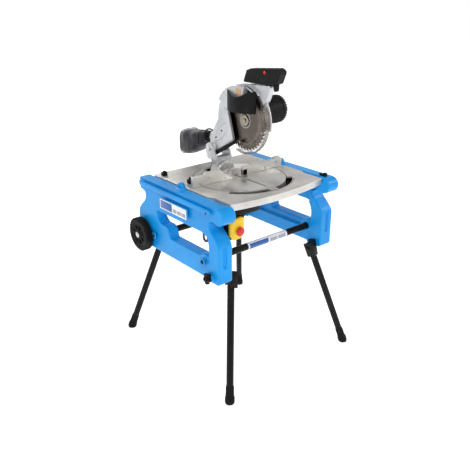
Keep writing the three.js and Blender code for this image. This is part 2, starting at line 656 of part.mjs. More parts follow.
// ---- Turntable and kerf insert -----------------------------------------------------------------------
const pocketHalf = BEVEL_R + 9;
const TURN_BOTTOM = tableUnder + 6 + GAP;
const BLADE_TROUGH = [-8, 16];
const BEVEL_BOLT_R = 8;
const BOLT_HEAD_R = 13;
const BRACKET_Y = [BEVEL_Y - 18, BEVEL_Y - 2];
function turntable() {
  const plateZ = [TABLE_TOP - TURN_PLATE, TABLE_TOP];
  const rim = cut(disc(TURN_R, [TURN_BOTTOM, TABLE_TOP]), disc(LEDGE_IN - 8, [TURN_BOTTOM - 1, plateZ[0]]));
  const pointer = block([-POINTER_HALF, POINTER_HALF], [TURN_Y - POINTER_R, TURN_Y - TURN_R + 8], plateZ);
  let top = join(rim, pointer);
  const pocketY = [BEVEL_Y - 4, TURN_Y + TURN_R + 5];
  top = cut(top, block([-pocketHalf, pocketHalf], pocketY, [TURN_BOTTOM - 1, TABLE_TOP + 1]));
  const ear = join(
    rod("Y", BEVEL_R, BRACKET_Y, [0, TABLE_TOP], 28),
    block([-BEVEL_R, BEVEL_R], BRACKET_Y, [TABLE_TOP - 22, TABLE_TOP]),
  ).intersect(block([-100, 100], [0, 200], [TABLE_TOP - 22, TABLE_TOP + 100]));
  top = join(top, ear);
  top = cut(top, rod("Y", BEVEL_BOLT_R + RUN, [BRACKET_Y[0] - 1, BRACKET_Y[1] + 1], [0, TABLE_TOP], 20));
  top = cut(top, rod("Y", BOLT_HEAD_R + 1, [BRACKET_Y[0] - 11, BRACKET_Y[0]], [0, TABLE_TOP]));
  const insert = [-KERF_HALF - GAP, KERF_HALF + GAP];
  const insertY = [KERF_FRONT - GAP, KERF_REAR + GAP];
  top = cut(top, block(insert, insertY, [TABLE_TOP - KERF_THICK - GAP, TABLE_TOP + 1]));
  const troughY = [KERF_FRONT + 14, KERF_REAR - 14];
  top = cut(top, block(BLADE_TROUGH, troughY, [TURN_BOTTOM - 1, TABLE_TOP + 1]));
  return top;
}
add("turntable", TURNED_ALUMINIUM, turntable());
const kerfZ = [TABLE_TOP - KERF_THICK, TABLE_TOP - 0.2];
const kerf = block([-KERF_HALF, KERF_HALF], [KERF_FRONT, KERF_REAR], kerfZ);
const kerfSlot = block(BLADE_SLOT, [KERF_FRONT + 16, KERF_REAR - 18], [TABLE_TOP - 10, TABLE_TOP + 1]);
add("kerf_insert", CAST_ALUMINIUM, cut(kerf, kerfSlot));

// ---- Fence -------------------------------------------------------------------------------------------
const fenceFoot = TABLE_TOP + GAP;
const FENCE_KNOB = { x: 14 - FENCE_HALF, y: TURN_Y + 36, r: 14, h: 26, stem: 4 };
function fence() {
  const y = [TURN_Y, TURN_Y + FENCE_THICK];
  const left = outline([
    [fenceFoot, -FENCE_HALF, 3],
    [fenceFoot, -38],
    [fenceFoot + 4, -42],
    [fenceFoot + FENCE_LEFT_H, -112, 4],
    [fenceFoot + FENCE_LEFT_H, 68 - FENCE_HALF, 4],
    [fenceFoot + FENCE_LEFT_H - 8, 64 - FENCE_HALF],
    [fenceFoot + FENCE_LEFT_H - 8, -FENCE_HALF, 6],
  ]);
  const right = outline([
    [fenceFoot, 18],
    [fenceFoot, FENCE_HALF, 3],
    [fenceFoot + FENCE_RIGHT_H, FENCE_HALF, 4],
    [fenceFoot + FENCE_RIGHT_H, FENCE_HALF - 12],
    [fenceFoot + FENCE_RIGHT_H + 10, FENCE_HALF - 16, 3],
    [fenceFoot + FENCE_RIGHT_H + 10, FENCE_HALF - 46, 3],
    [fenceFoot + FENCE_RIGHT_H, FENCE_HALF - 50],
    [fenceFoot + FENCE_RIGHT_H, 24, 5],
    [fenceFoot + FENCE_RIGHT_H - 6, 18],
  ]);
  const wings = [prism("Y", left, y), prism("Y", right, y)];
  const bridge = sector(TURN, BRIDGE_R - 6, BRIDGE_R, 0, 180);
  const arch = prism("Z", bridge, [fenceFoot, fenceFoot + BRIDGE_H], 10);
  const tieRight = block([18, BRIDGE_R], y, [fenceFoot, fenceFoot + BRIDGE_H]);
  const tieLeft = block([-BRIDGE_R - 4, -BRIDGE_R + 6], y, [fenceFoot, fenceFoot + 4]);
  const kneeLeft = block([-BRIDGE_R - 6, -BRIDGE_R + 1], [y[0] + 6, y[1]], [fenceFoot, fenceFoot + 4]);
  const tiltRoom = block([-BRIDGE_R - 2, -BRIDGE_R + 16], [y[0] - 1, y[0] + 20], [fenceFoot + 14, CHOP_Z]);
  let made = join(wings[0], wings[1], cut(arch, tiltRoom), tieRight, tieLeft, kneeLeft);
  const footY = [y[1] - 1, TURN_Y + 50];
  const footZ = [fenceFoot, fenceFoot + 9];
  const feet = [[-FENCE_HALF, 28 - FENCE_HALF], [FENCE_HALF - 28, FENCE_HALF]];
  made = join(made, ...feet.map((x) => block(x, footY, footZ)));
  const shank = rod("Z", FENCE_KNOB.stem + RUN, [fenceFoot + 1, CHOP_Z], [FENCE_KNOB.x, FENCE_KNOB.y], 16);
  return cut(made, shank);
}
add("fence", CAST_ALUMINIUM, fence());
add("fence_knob", BLACK_PLASTIC, knobOn(FENCE_KNOB, fenceFoot + 9 + GAP, 7));

// ---- Bevel support: tilts on the turntable and carries the head --------------------------------------
const PIVOT = [CHOP_Y, CHOP_Z];
const CHEEK_REAR = CHOP_Y + 25;
const SUPPORT_FLOOR = CHOP_Z - 49;
const LINK = {
  foot: [CHOP_Y - 29, CHOP_Z - 19],
  tip: [BLADE_Y + 28, BLADE_Z - GUARD_R + 49],
  x: [-33.5, -29],
  r: 9,
};
function bevelSupport() {
  const y = [BEVEL_Y, BEVEL_Y + BEVEL_DEPTH];
  const discSolid = rod("Y", BEVEL_R, y, [0, TABLE_TOP], 28);
  const neck = outline([
    [TABLE_TOP + 24, -BEVEL_R + 12],
    [TABLE_TOP, -BEVEL_R + 8],
    [TABLE_TOP, BEVEL_R - 8],
    [TABLE_TOP + 24, BEVEL_R - 12],
    [SUPPORT_FLOOR + 12, CHEEK_OUT],
    [SUPPORT_FLOOR + 12, -CHEEK_OUT],
  ]);
  const column = prism("Y", neck, y);
  const cheekShape = outline([
    [BEVEL_Y, SUPPORT_FLOOR],
    [CHEEK_REAR - 12, SUPPORT_FLOOR, 4],
    [CHEEK_REAR, CHOP_Z - 16, 6],
    [CHEEK_REAR, CHOP_Z + 16, 14],
    [CHOP_Y - 4, CHOP_Z + 27, 12],
    [BEVEL_Y + 18, CHOP_Z + 12, 10],
    [BEVEL_Y, SUPPORT_FLOOR + 16, 6],
  ]);
  let support = join(
    discSolid,
    column,
    prism("X", cheekShape, [CHEEK_IN, CHEEK_OUT]),
    prism("X", cheekShape, [-CHEEK_OUT, -CHEEK_IN]),
  );
  const bolt = rod("Y", BEVEL_BOLT_R, [BRACKET_Y[0] - 2, CHEEK_REAR + 10], [0, TABLE_TOP], 20);
  const boltHead = rod("Y", BOLT_HEAD_R, [BRACKET_Y[0] - 9, BRACKET_Y[0] - GAP], [0, TABLE_TOP], 6);
  support = join(support, bolt, boltHead);
  const linkPin = rod("X", 4, [-CHEEK_IN - 1, LINK.x[1] + 1], LINK.foot, 16);
  support = join(support, linkPin);
  support = cut(support, rod("X", PIVOT_PIN_R + GAP, [-CHEEK_OUT - 1, CHEEK_OUT + 1], PIVOT, 20));
  // Room for the barrel of the head between the cheeks.
  return cut(support, rod("X", BARREL_R + 2, [-CHEEK_IN, CHEEK_IN], PIVOT, 32));
}
add("bevel_support", CAST_ALUMINIUM, bevelSupport());
const pivotPin = rod("X", PIVOT_PIN_R, [-CHEEK_OUT - 3, CHEEK_OUT + 3], PIVOT, 20);
const pinHead = (x) => rod("X", 11, x, PIVOT, 6);
const pinHeads = [pinHead([CHEEK_OUT + GAP, CHEEK_OUT + 7]), pinHead([-CHEEK_OUT - 7, -CHEEK_OUT - GAP])];
add("chop_pivot_pin", STEEL, join(pivotPin, ...pinHeads));

function bevelLever() {
  const y = [CHEEK_REAR + 1, CHEEK_REAR + 9];
  const arm = outline([
    [TABLE_TOP, -9],
    [TABLE_TOP, 9],
    [TABLE_TOP + 70, 6, 5],
    [TABLE_TOP + 70, -6, 5],
  ]);
  const lever = join(rod("Y", 15, y, [0, TABLE_TOP], 24), prism("Y", arm, y));
  return cut(lever, rod("Y", BEVEL_BOLT_R + RUN, [y[0] - 1, y[1] + 1], [0, TABLE_TOP], 20));
}
add("bevel_lever", BLACK_PLASTIC, bevelLever());

// ---- Head casting: pivot barrel, arm, upper blade guard and gear case --------------------------------
const HUB = [BLADE_Y, BLADE_Z];
// Outlines of the head are given from the blade's centre, or from the top of the guard shell over it.
const fromHub = (points) => points.map(([y, z, r]) => [BLADE_Y + y, BLADE_Z + z, r]);
const fromCrown = (points) => fromHub(points.map(([y, z, r]) => [y, z + SHELL_R, r]));
const MOTOR_Y = BLADE_Y + 14;
const gearDistance = (GEAR_MODULE * (GEAR_TEETH + PINION_TEETH)) / 2;
const motorAxis = [MOTOR_Y, BLADE_Z + Math.sqrt(gearDistance ** 2 - (MOTOR_Y - BLADE_Y) ** 2)];
const SHELL_X = [-26, 14];
const WALL_X = [8, 14];
const LEFT_X = [-26, -14];
const CASE_X = [14, MOTOR_FROM - GAP];
const COLLAR_R = 24;
function headCasting() {
  const full = sector(HUB, 0, SHELL_R, -46, 128);
  const bladeBay = rod("X", GUARD_R + 2.5, [LEFT_X[1], WALL_X[0]], HUB, 36);
  // Side outline of the arm, from the barrel up behind the blade.
  const arm = outline([
    [CHOP_Y - 22, CHOP_Z - 10, 4],
    [CHOP_Y + 22, CHOP_Z - 10, 4],
    [CHOP_Y + 12, CHOP_Z + 50, 10],
    ...fromHub([
      [154, -23, 20],
      [104, 37],
      [40, 17],
      [24, -53, 10],
      [49, -89, 12],
      [104, -123, 20],
    ]),
  ]);
  const shell = prism("X", full, SHELL_X, 10);
  const armSolid = prism("X", arm, [-CHEEK_IN + 8, CHEEK_IN - 8]);
  const armRoom = block([-28, WALL_X[1]], [-200, 300], [TABLE_TOP, BLADE_Z + 2 * SHELL_R]);
  let head = join(shell, armSolid.intersect(armRoom));
  const armRight = outline([
    [CHOP_Y - 22, CHOP_Z - 10, 4],
    [CHOP_Y + 22, CHOP_Z - 10, 4],
    [CHOP_Y + 12, CHOP_Z + 50, 10],
    ...fromHub([
      [152, -33, 20],
      [120, -23],
      [120, -103, 10],
    ]),
  ]);
  head = join(head, prism("X", armRight, [10, CHEEK_IN - 8]));
  head = cut(head, bladeBay);
  // The left plate stops short of the blade's centre, along a slanting edge.
  const open = outline(
    fromHub([
      [-2 * SHELL_R, 2 * SHELL_R],
      [-2 * SHELL_R, -SHELL_R - 15],
      [42, -SHELL_R - 15],
      [49, -85],
      [81, 25],
      [81, 57],
      [44, SHELL_R - 35],
      [4, SHELL_R - 35],
      [4, 2 * SHELL_R],
    ]),
  );
  head = cut(head, prism("X", open, [SHELL_X[0] - 3, LEFT_X[1] + 1]));
  // Right wall over the whole upper half of the blade, with the gear case on it.
  const wall = prism("X", sector(HUB, 0, SHELL_R, -46, 190), WALL_X, 12);
  const gearCase = rod("X", 44, CASE_X, motorAxis, 28);
  const spine = prism("X", sector(HUB, 128, SHELL_R, -30, 60), [WALL_X[0], 34], 8);
  const spineRoom = block([0, 60], [-20, 200], [CHOP_Z, BLADE_Z + 2 * SHELL_R]);
  head = join(head, wall, gearCase, spine.intersect(spineRoom));
  head = join(head, rod("X", BARREL_R, [-CHEEK_IN + GAP, CHEEK_IN - GAP], PIVOT, 32));
  // Front arm up to the handle.
  const front = outline(
    fromCrown([
      [-22, 3],
      [-46, -31],
      [-86, -29],
      [-112, -69, 4],
      [-132, -55, 8],
      [-158, 5, 6],
      [-150, 10],
    ]),
  );
  head = join(head, prism("X", front, [-9, 15]));
  head = cut(head, bladeBay);
  // Collar that the lower guard turns on.
  head = join(head, rod("X", COLLAR_R, [5, WALL_X[1]], HUB, 24));
  // Gear chamber, spindle hole, pivot hole and dust duct.
  head = cut(head, rod("X", gearDistance - 2.5, [CASE_X[0] + 8, 54], HUB, 32));
  head = cut(head, rod("X", 12, [CASE_X[0] + 8, 70], motorAxis, 24));
  head = cut(head, rod("X", SPINDLE_R + RUN, [0, 60], HUB, 20));
  head = cut(head, rod("X", PIVOT_PIN_R + RUN, [-60, 60], PIVOT, 20));
  const ductRoom = block([-26, 26], [60, 200], [CHOP_Z + 12, DUCT_Z + 32]);
  head = join(head, rod("Y", 26, [DUCT_Y - 76, DUCT_Y], [0, DUCT_Z], 24).intersect(ductRoom));
  return cut(head, rod("Y", 16, [DUCT_Y - 60, DUCT_Y + 1], [0, DUCT_Z], 20));
}
const DUCT_Y = CHOP_Y + 21;
const DUCT_Z = CHOP_Z + 43;
add("head_casting", CAST_ALUMINIUM, headCasting());

// ---- Blade, flange, spindle gear and armature pinion -------------------------------------------------
function gearOutline([cy, cz], teeth, turn) {
  const pitch = (GEAR_MODULE * teeth) / 2;
  const tip = pitch + 0.8 * GEAR_MODULE;
  const root = pitch - 1.15 * GEAR_MODULE;
  const step = (2 * Math.PI) / teeth;
  const half = (share) => step * share;
  const corners = [[root, -half(0.27)], [tip, -half(0.1)], [tip, half(0.1)], [root, half(0.27)]];
  const points = [];
  for (let i = 0; i < teeth; i++) {
    for (const [r, offset] of corners) {
      const angle = turn + i * step + offset;
      points.push([cy + r * Math.cos(angle), cz + r * Math.sin(angle)]);
    }
  }
  return outline(points);
}
const towardsMotor = Math.atan2(motorAxis[1] - BLADE_Z, motorAxis[0] - BLADE_Y);
const gearX = [GEAR_X, GEAR_X + GEAR_W];

function bladeSolid() {
  const shape = new THREE.Shape();
  const step = (2 * Math.PI) / BLADE_TEETH;
  const polar = (r, angle) => [BLADE_Y + r * Math.cos(angle), BLADE_Z + r * Math.sin(angle)];
  for (let i = 0; i < BLADE_TEETH; i++) {
    const at = i * step;
    shape[i ? "lineTo" : "moveTo"](...polar(BLADE_R, at));
    shape.lineTo(...polar(BLADE_R - 9, at + step * 0.08));
    shape.lineTo(...polar(BLADE_R - 9, at + step * 0.4));
  }
  shape.closePath();
  const arborHole = rod("X", SPINDLE_R + GAP, [-BLADE_THICK, BLADE_THICK], HUB, 20);
  return cut(prism("X", shape, [-BLADE_THICK / 2, BLADE_THICK / 2]), arborHole);
}
add("saw_blade", BLADE_STEEL, bladeSolid());
const FLANGE_R = 17;
const faceLeft = -BLADE_THICK / 2 - GAP;
const faceRight = BLADE_THICK / 2 + GAP;
const arborBolt = join(
  cut(
    rod("X", 24, [faceLeft - 4, faceLeft], HUB, 32),
    rod("X", SPINDLE_R + GAP, [faceLeft - 3, faceLeft + 1], HUB, 20),
  ),
  rod("X", 10, [faceLeft - 8, faceLeft - 3], HUB, 6),
);
add("arbor_flange", STEEL, arborBolt);
const spindle = join(
  rod("X", SPINDLE_R, [faceLeft - 2, gearX[1] + 2], HUB, 20),
  rod("X", FLANGE_R, [faceRight, 4.6], HUB, 24),
  prism("X", gearOutline(HUB, GEAR_TEETH, towardsMotor), gearX),
);
add("spindle", STEEL, spindle);
const pinionTurn = towardsMotor + Math.PI + Math.PI / PINION_TEETH;
const armature = join(
  prism("X", gearOutline(motorAxis, PINION_TEETH, pinionTurn), gearX),
  rod("X", 4.5, [gearX[0], MOTOR_TO + 6], motorAxis, 16),
  rod("X", 30, [MOTOR_FROM + 14, MOTOR_TO - 40], motorAxis, 24),
  rod("X", 15, [MOTOR_TO - 30, MOTOR_TO - 8], motorAxis, 20),
);
add("armature", STEEL, armature);

// ---- Lower guard, its link and the black side shield -------------------------------------------------
function lowerGuard() {
  const rightWall = sector(HUB, 30, GUARD_R, GUARD_FROM, GUARD_TO);
  const rim = sector(HUB, GUARD_R - 3, GUARD_R, GUARD_FROM, GUARD_TO);
  const leftWall = sector(HUB, 92, GUARD_R, GUARD_FROM, GUARD_TO);
  const ring = cut(rod("X", 36, [5.2, 7.4], HUB, 24), rod("X", COLLAR_R + RUN, [4, 9], HUB, 24));
  return join(
    ring,
    prism("X", rightWall, [5.2, 7.4], 12),
    prism("X", rim, [-12, 7.4], 12),
    prism("X", leftWall, [-12, -9.8], 12),
  );
}
add("lower_guard", CLEAR, lowerGuard());

function guardLink() {
  const [fy, fz] = LINK.foot;
  const [ty, tz] = LINK.tip;
  const length = Math.hypot(ty - fy, tz - fz);
  const angle = Math.atan2(tz - fz, ty - fy);
  const bar = outline([
    [0, -LINK.r],
    [length, -LINK.r * 0.8, 4],
    [length, LINK.r * 0.8, 4],
    [0, LINK.r],
  ]);
  const geometry = new THREE.Matrix4().makeRotationX(angle);
  geometry.setPosition(0, fy, fz);
  const straight = join(prism("X", bar, LINK.x), rod("X", LINK.r, LINK.x, [0, 0], 20));
  return cut(straight.transform(geometry.elements), rod("X", 4 + RUN, [-50, 0], LINK.foot, 16));
}
add("guard_link", BLACK_PLASTIC, guardLink());

const SHIELD = {
  rear: BLADE_Y + 72,
  front: BLADE_Y - 86,
  low: BLADE_Z + 41,
  high: BLADE_Z + SHELL_R - 19,
  bulge: 40,
  wall: 3.5,
};
function bladeShield() {
  const mid = (SHIELD.rear + SHIELD.front) / 2;
  const span = SHIELD.rear - SHIELD.front;
  const base = SHELL_X[0] - GAP;
  const bow = (grow) => {
    const shape = new THREE.Shape();
    shape.moveTo(base, SHIELD.rear - grow);
    const out = base - SHIELD.bulge + grow;
    const nose = SHIELD.front + grow;
    shape.bezierCurveTo(out, SHIELD.rear - 12, out, mid + 20, out, mid);
    shape.bezierCurveTo(out, mid - 30, base - SHIELD.bulge / 2, nose, base + 9, nose);
    shape.lineTo(base + 9, SHIELD.front + span / 4);
    shape.lineTo(base, SHIELD.rear - span / 4);
    shape.closePath();
    return shape;
  };
  const z = [SHIELD.low, SHIELD.high];
  const wall = cut(prism("Z", bow(0), z, 8), prism("Z", bow(SHIELD.wall), [z[0] - 1, z[1] + 1], 8));
  const dip = new THREE.Shape();
  dip.moveTo(SHIELD.rear - 4, SHIELD.high + 1);
  dip.quadraticCurveTo(mid, SHIELD.high - 52, SHIELD.front + 18, SHIELD.high + 1);
  dip.closePath();
  return cut(wall, prism("X", dip, [-200, 60], 10));
}
add("blade_shield", BLACK_PLASTIC, bladeShield());

// ---- Motor -------------------------------------------------------------------------------------------
const housingProfile = [
  [12, MOTOR_FROM],
  [MOTOR_R - 4, MOTOR_FROM],
  [MOTOR_R, MOTOR_FROM + 5],
  [MOTOR_R, MOTOR_TO - GAP],
  [MOTOR_R - MOTOR_WALL, MOTOR_TO - GAP],
  [MOTOR_R - MOTOR_WALL, MOTOR_FROM + 8],
  [12, MOTOR_FROM + 8],
  [12, MOTOR_FROM],
];
add("motor_housing", BLACK_PLASTIC, turned("X", housingProfile, motorAxis, 28));
const capProfile = [
  [0, MOTOR_END],
  [26, MOTOR_END],
  [MOTOR_R - 12, MOTOR_END - 6],
  [MOTOR_R - 1, MOTOR_TO + 8],
  [MOTOR_R - 1, MOTOR_TO],
  [MOTOR_R - MOTOR_WALL, MOTOR_TO],
  [MOTOR_R - MOTOR_WALL - 2, MOTOR_TO + 8],
  [0, MOTOR_TO + 8],
];
add("motor_cap", BLACK_PLASTIC, turned("X", capProfile, motorAxis, 28));

// ---- Handle with its trigger and lock-off button -----------------------------------------------------
const GRIP = [
  [-6, 11, 5],
  [-30, 63, 8],
  [-198, 83, 12],
  [-224, 73, 10],
  [-198, 21, 8],
  [-164, 12],
];
const GRIP_MID = [-111, 47];
const TRIGGER_HALF = 6;
const triggerShape = (grow) =>
  outline(
    fromCrown([
      [-162 + grow, 35 + grow, 4],
      [-162 + grow, 17 - grow],
      [-172, -11 - grow, 5],
      [-188 - grow, -7 - grow, 5],
      [-192 - grow, 29 + grow, 6],
    ]),
  );
function handleShell() {
  const shell = prism("X", outline(fromCrown(GRIP)), [GAP / 2, HANDLE_HALF]);
  const shrunk = GRIP.map(([y, z]) => [y + (GRIP_MID[0] - y) * 0.07, z + (GRIP_MID[1] - z) * 0.2]);
  const hollow = prism("X", outline(fromCrown(shrunk)), [0, HANDLE_HALF - 4]);
  const triggerRoom = prism("X", triggerShape(2.5), [-TRIGGER_HALF - 1, TRIGGER_HALF + 1]);
  return cut(shell, hollow, triggerRoom);
}
const LOCK = { y: BLADE_Y - 132, z: BLADE_Z + SHELL_R + 59, r: 6 };
const lockBore = rod("X", LOCK.r + RUN, [-HANDLE_HALF - 1, HANDLE_HALF + 1], [LOCK.y, LOCK.z], 16);
add("handle_shell_right", BLACK_PLASTIC, handleShell());
add("handle_shell_left", BLACK_PLASTIC, cut(mirrorX(handleShell()), lockBore));
add("trigger", BLACK_PLASTIC, prism("X", triggerShape(0), [-TRIGGER_HALF, TRIGGER_HALF]));
const lockButton = rod("X", LOCK.r, [-HANDLE_HALF - 5, -HANDLE_HALF + 8], [LOCK.y, LOCK.z], 16);
add("lock_off_button", RED, lockButton);

// ---- Dust port and bag -------------------------------------------------------------------------------
const PORT_R = 20;
const portFrom = DUCT_Y + GAP;
const portProfile = [
  [15, portFrom],
  [PORT_R + 5, portFrom],
  [PORT_R + 5, portFrom + 4],
  [PORT_R, portFrom + 5],
  [PORT_R - 1, portFrom + 30],
  [15, portFrom + 30],
  [15, portFrom],
];
add("dust_port", BLACK_PLASTIC, turned("Y", portProfile, [0, DUCT_Z], 20));

// The bag is a row of rounded sections, joined as one closed form: how far each is behind the port,
// its half width, and its lowest and highest point from the middle of the duct.
function dustBag() {
  const sections = [
    [34, 24, -24, 14],
    [62, 44, -56, 18],
    [96, 58, -84, 16],
    [154, 62, -112, 10],
    [200, 58, -116, 0],
    [216, 44, -102, -12],
  ];
  const sides = 16;
  const positions = [];
  const triangles = [];
  sections.forEach(([behind, half, low, high]) => {
    for (let i = 0; i < sides; i++) {
      const angle = (i / sides) * 2 * Math.PI;
      const square = (v) => Math.sign(v) * Math.abs(v) ** 0.7;
      const z = (low + high) / 2 + (square(Math.sin(angle)) * (high - low)) / 2;
      positions.push(half * square(Math.cos(angle)), portFrom + behind, DUCT_Z + z);
    }
  });
  const ends = [0, sections.length - 1].map((row) => {
    const [behind, , low, high] = sections[row];
    positions.push(0, portFrom + behind, DUCT_Z + (low + high) / 2);
    return positions.length / 3 - 1;
  });
  for (let row = 0; row < sections.length - 1; row++) {
    for (let i = 0; i < sides; i++) {
      const a = row * sides + i;
      const b = row * sides + ((i + 1) % sides);
      triangles.push(a, b, a + sides, b, b + sides, a + sides);
    }
  }
  for (let i = 0; i < sides; i++) {
    const next = (i + 1) % sides;
    const last = (sections.length - 1) * sides;
    triangles.push(ends[0], next, i, ends[1], last + i, last + next);
  }
  const geometry = new THREE.BufferGeometry();
  geometry.setAttribute("position", new THREE.Float32BufferAttribute(positions, 3));
  geometry.setIndex(triangles);
  return flippedIf(solid(geometry));
}
add("dust_bag", FABRIC, dustBag());

export default group;
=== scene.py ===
# %% [markdown]
# A flip-over mitre saw on a folding stand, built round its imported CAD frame. The CAD gives every piece
# its place and its motion; this notebook gives each one its finished shape and surface. Sizes here are
# in millimetres, in the CAD's own frame: +X right, +Y away from the operator, +Z up, origin on the floor.

# %% Load the frame
import math

import bmesh
import bpy
from mathutils import Matrix, Vector, noise
from mathutils.bvhtree import BVHTree


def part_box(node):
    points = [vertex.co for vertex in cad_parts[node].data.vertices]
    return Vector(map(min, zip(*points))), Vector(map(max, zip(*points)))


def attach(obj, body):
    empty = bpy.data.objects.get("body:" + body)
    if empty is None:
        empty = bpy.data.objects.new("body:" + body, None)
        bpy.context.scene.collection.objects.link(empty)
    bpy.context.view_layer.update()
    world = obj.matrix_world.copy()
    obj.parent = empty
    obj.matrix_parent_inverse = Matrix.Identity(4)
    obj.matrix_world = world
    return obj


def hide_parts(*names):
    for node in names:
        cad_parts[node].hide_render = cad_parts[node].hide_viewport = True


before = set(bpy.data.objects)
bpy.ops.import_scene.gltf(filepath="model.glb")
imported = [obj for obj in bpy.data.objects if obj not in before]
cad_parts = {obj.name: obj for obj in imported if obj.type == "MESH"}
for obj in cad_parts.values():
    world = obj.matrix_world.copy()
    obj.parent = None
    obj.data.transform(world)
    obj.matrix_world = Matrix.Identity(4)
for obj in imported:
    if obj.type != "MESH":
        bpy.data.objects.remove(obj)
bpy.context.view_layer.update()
MM = 0.001


# %% [markdown]
# The camera comes first, because every judgement about shape is made through it. The saw is seen from
# its front left, a little above the table: 40 degrees round from straight ahead, looking down 23.

# %% Camera
EYE = Vector((-1.585, -1.875, 1.584))
YAW, PITCH = math.radians(40.18), math.radians(23.32)
lens = bpy.data.cameras.new("studio_camera")
lens.lens, lens.sensor_width = 44.77, 36.0
camera = bpy.data.objects.new("studio_camera", lens)
camera.location = EYE
camera.rotation_euler = (math.pi / 2 - PITCH, 0, -YAW)
bpy.context.scene.collection.objects.link(camera)
bpy.context.scene.camera = camera
print("camera at", tuple(round(v, 3) for v in EYE))


# %% [markdown]
# A white product studio: a pale floor that runs out of sight, a bright world, and three large soft
# lamps. Metal needs something to reflect, so the world is shaded from below to above: white low down,
# where the floor meets it, grey from the horizon up, and white again straight overhead. The grey darkens
# the turned faces wherever no lamp shows in them. The Standard view keeps whites white.

# %% Floor, world and lamps
STUDIO_WHITE = (0.93, 0.93, 0.94, 1)
SKY = ((0.0, 1.0), (0.22, 0.85), (0.38, 0.45), (0.72, 0.50), (1.0, 1.0))


def set_stops(ramp, stops):
    while len(ramp.elements) < len(stops):
        ramp.elements.new(0.5)
    for element, (position, shade) in zip(ramp.elements, stops):
        element.position = position
        element.color = shade if len(shade) == 4 else (*shade, 1)


def lamp(name, place, target, size, watts):
    data = bpy.data.lights.new(name, "AREA")
    data.shape, data.size, data.energy = "DISK", size, watts
    thing = bpy.data.objects.new(name, data)
    thing.location = place
    thing.rotation_euler = (Vector(target) - Vector(place)).to_track_quat("-Z", "Y").to_euler()
    bpy.context.scene.collection.objects.link(thing)


lamp("key_lamp", (-2.6, -2.4, 3.4), (0, 0, 0.8), 1.3, 62)
lamp("side_lamp", (3.2, -1.6, 2.2), (0, 0, 0.7), 1.1, 30)
lamp("back_lamp", (0.4, 3.2, 2.8), (0, 0, 0.9), 1.2, 42)
bpy.context.scene.view_settings.view_transform = "Standard"
world = bpy.data.worlds.new("studio_world")
world.use_nodes = True
sky = world.node_tree.nodes
height = sky.new("ShaderNodeSeparateXYZ")
shade = sky.new("ShaderNodeValToRGB")
place = sky.new("ShaderNodeTexCoord")
set_stops(shade.color_ramp, [(height_share, (level, level, level)) for height_share, level in SKY])
wires = world.node_tree.links
wires.new(height.inputs[0], place.outputs["Generated"])
wires.new(shade.inputs[0], height.outputs["Z"])
wires.new(sky["Background"].inputs["Color"], shade.outputs["Color"])
sky["Background"].inputs["Strength"].default_value = 1.0
bpy.context.scene.world = world

floor_mesh = bpy.data.meshes.new("studio_floor")
reach = 14.0
floor_mesh.from_pydata([(-reach, -reach, 0), (reach, -reach, 0), (reach, reach, 0), (-reach, reach, 0)], [],
                       [(0, 1, 2, 3)])
studio_floor = bpy.data.objects.new("studio_floor", floor_mesh)
bpy.context.scene.collection.objects.link(studio_floor)
floor_paint = bpy.data.materials.new("studio_floor_paint")
floor_paint.use_nodes = True
floor_look = {"Base Color": STUDIO_WHITE, "Roughness": 0.9, "Emission Color": STUDIO_WHITE,
              "Emission Strength": 0.55}
for socket, value in floor_look.items():
    floor_paint.node_tree.nodes["Principled BSDF"].inputs[socket].default_value = value
floor_mesh.materials.append(floor_paint)


# %% [markdown]
# Node trees read better as formulas. A Wire is one socket that can be added, multiplied and so on, and a
# Graph is a tree that makes any node by its type, its settings and what goes into its sockets. The same
# two classes build the materials and the Geometry Nodes.

# %% Wires and graphs
class Wire:
    def __init__(self, graph, socket):
        self.graph, self.socket = graph, socket

    def _maths(self, operation, first, second):
        kind = "ShaderNodeMath"
        return self.graph.node(kind, {"operation": operation}, {0: first, 1: second})

    def __add__(self, other):
        return self._maths("ADD", self, other)

    def __sub__(self, other):
        return self._maths("SUBTRACT", self, other)

    def __mul__(self, other):
        return self._maths("MULTIPLY", self, other)

    __radd__, __rmul__ = __add__, __mul__


class Graph:
    def __init__(self, tree):
        self.tree = tree

    def node(self, kind, settings=None, inputs=None, out=0):
        made = self.tree.nodes.new(kind)
        for key, value in (settings or {}).items():
            if key == "stops":
                set_stops(made.color_ramp, value)
            else:
                setattr(made, key, value)
        for key, value in (inputs or {}).items():
            self.feed(made.inputs[key], value)
        return Wire(self, made.outputs[out])

    def feed(self, socket, value):
        if isinstance(value, Wire):
            self.tree.links.new(value.socket, socket)
        else:
            socket.default_value = value


# %% [markdown]
# Every finish starts from the Principled shader. A Finish sets the numbers that are the same all over on
# the shader itself, and feeds it only what changes over the surface. Patterns read Object coordinates,
# which are metres here, so a scale of 400 gives grains of about 2.5 mm.

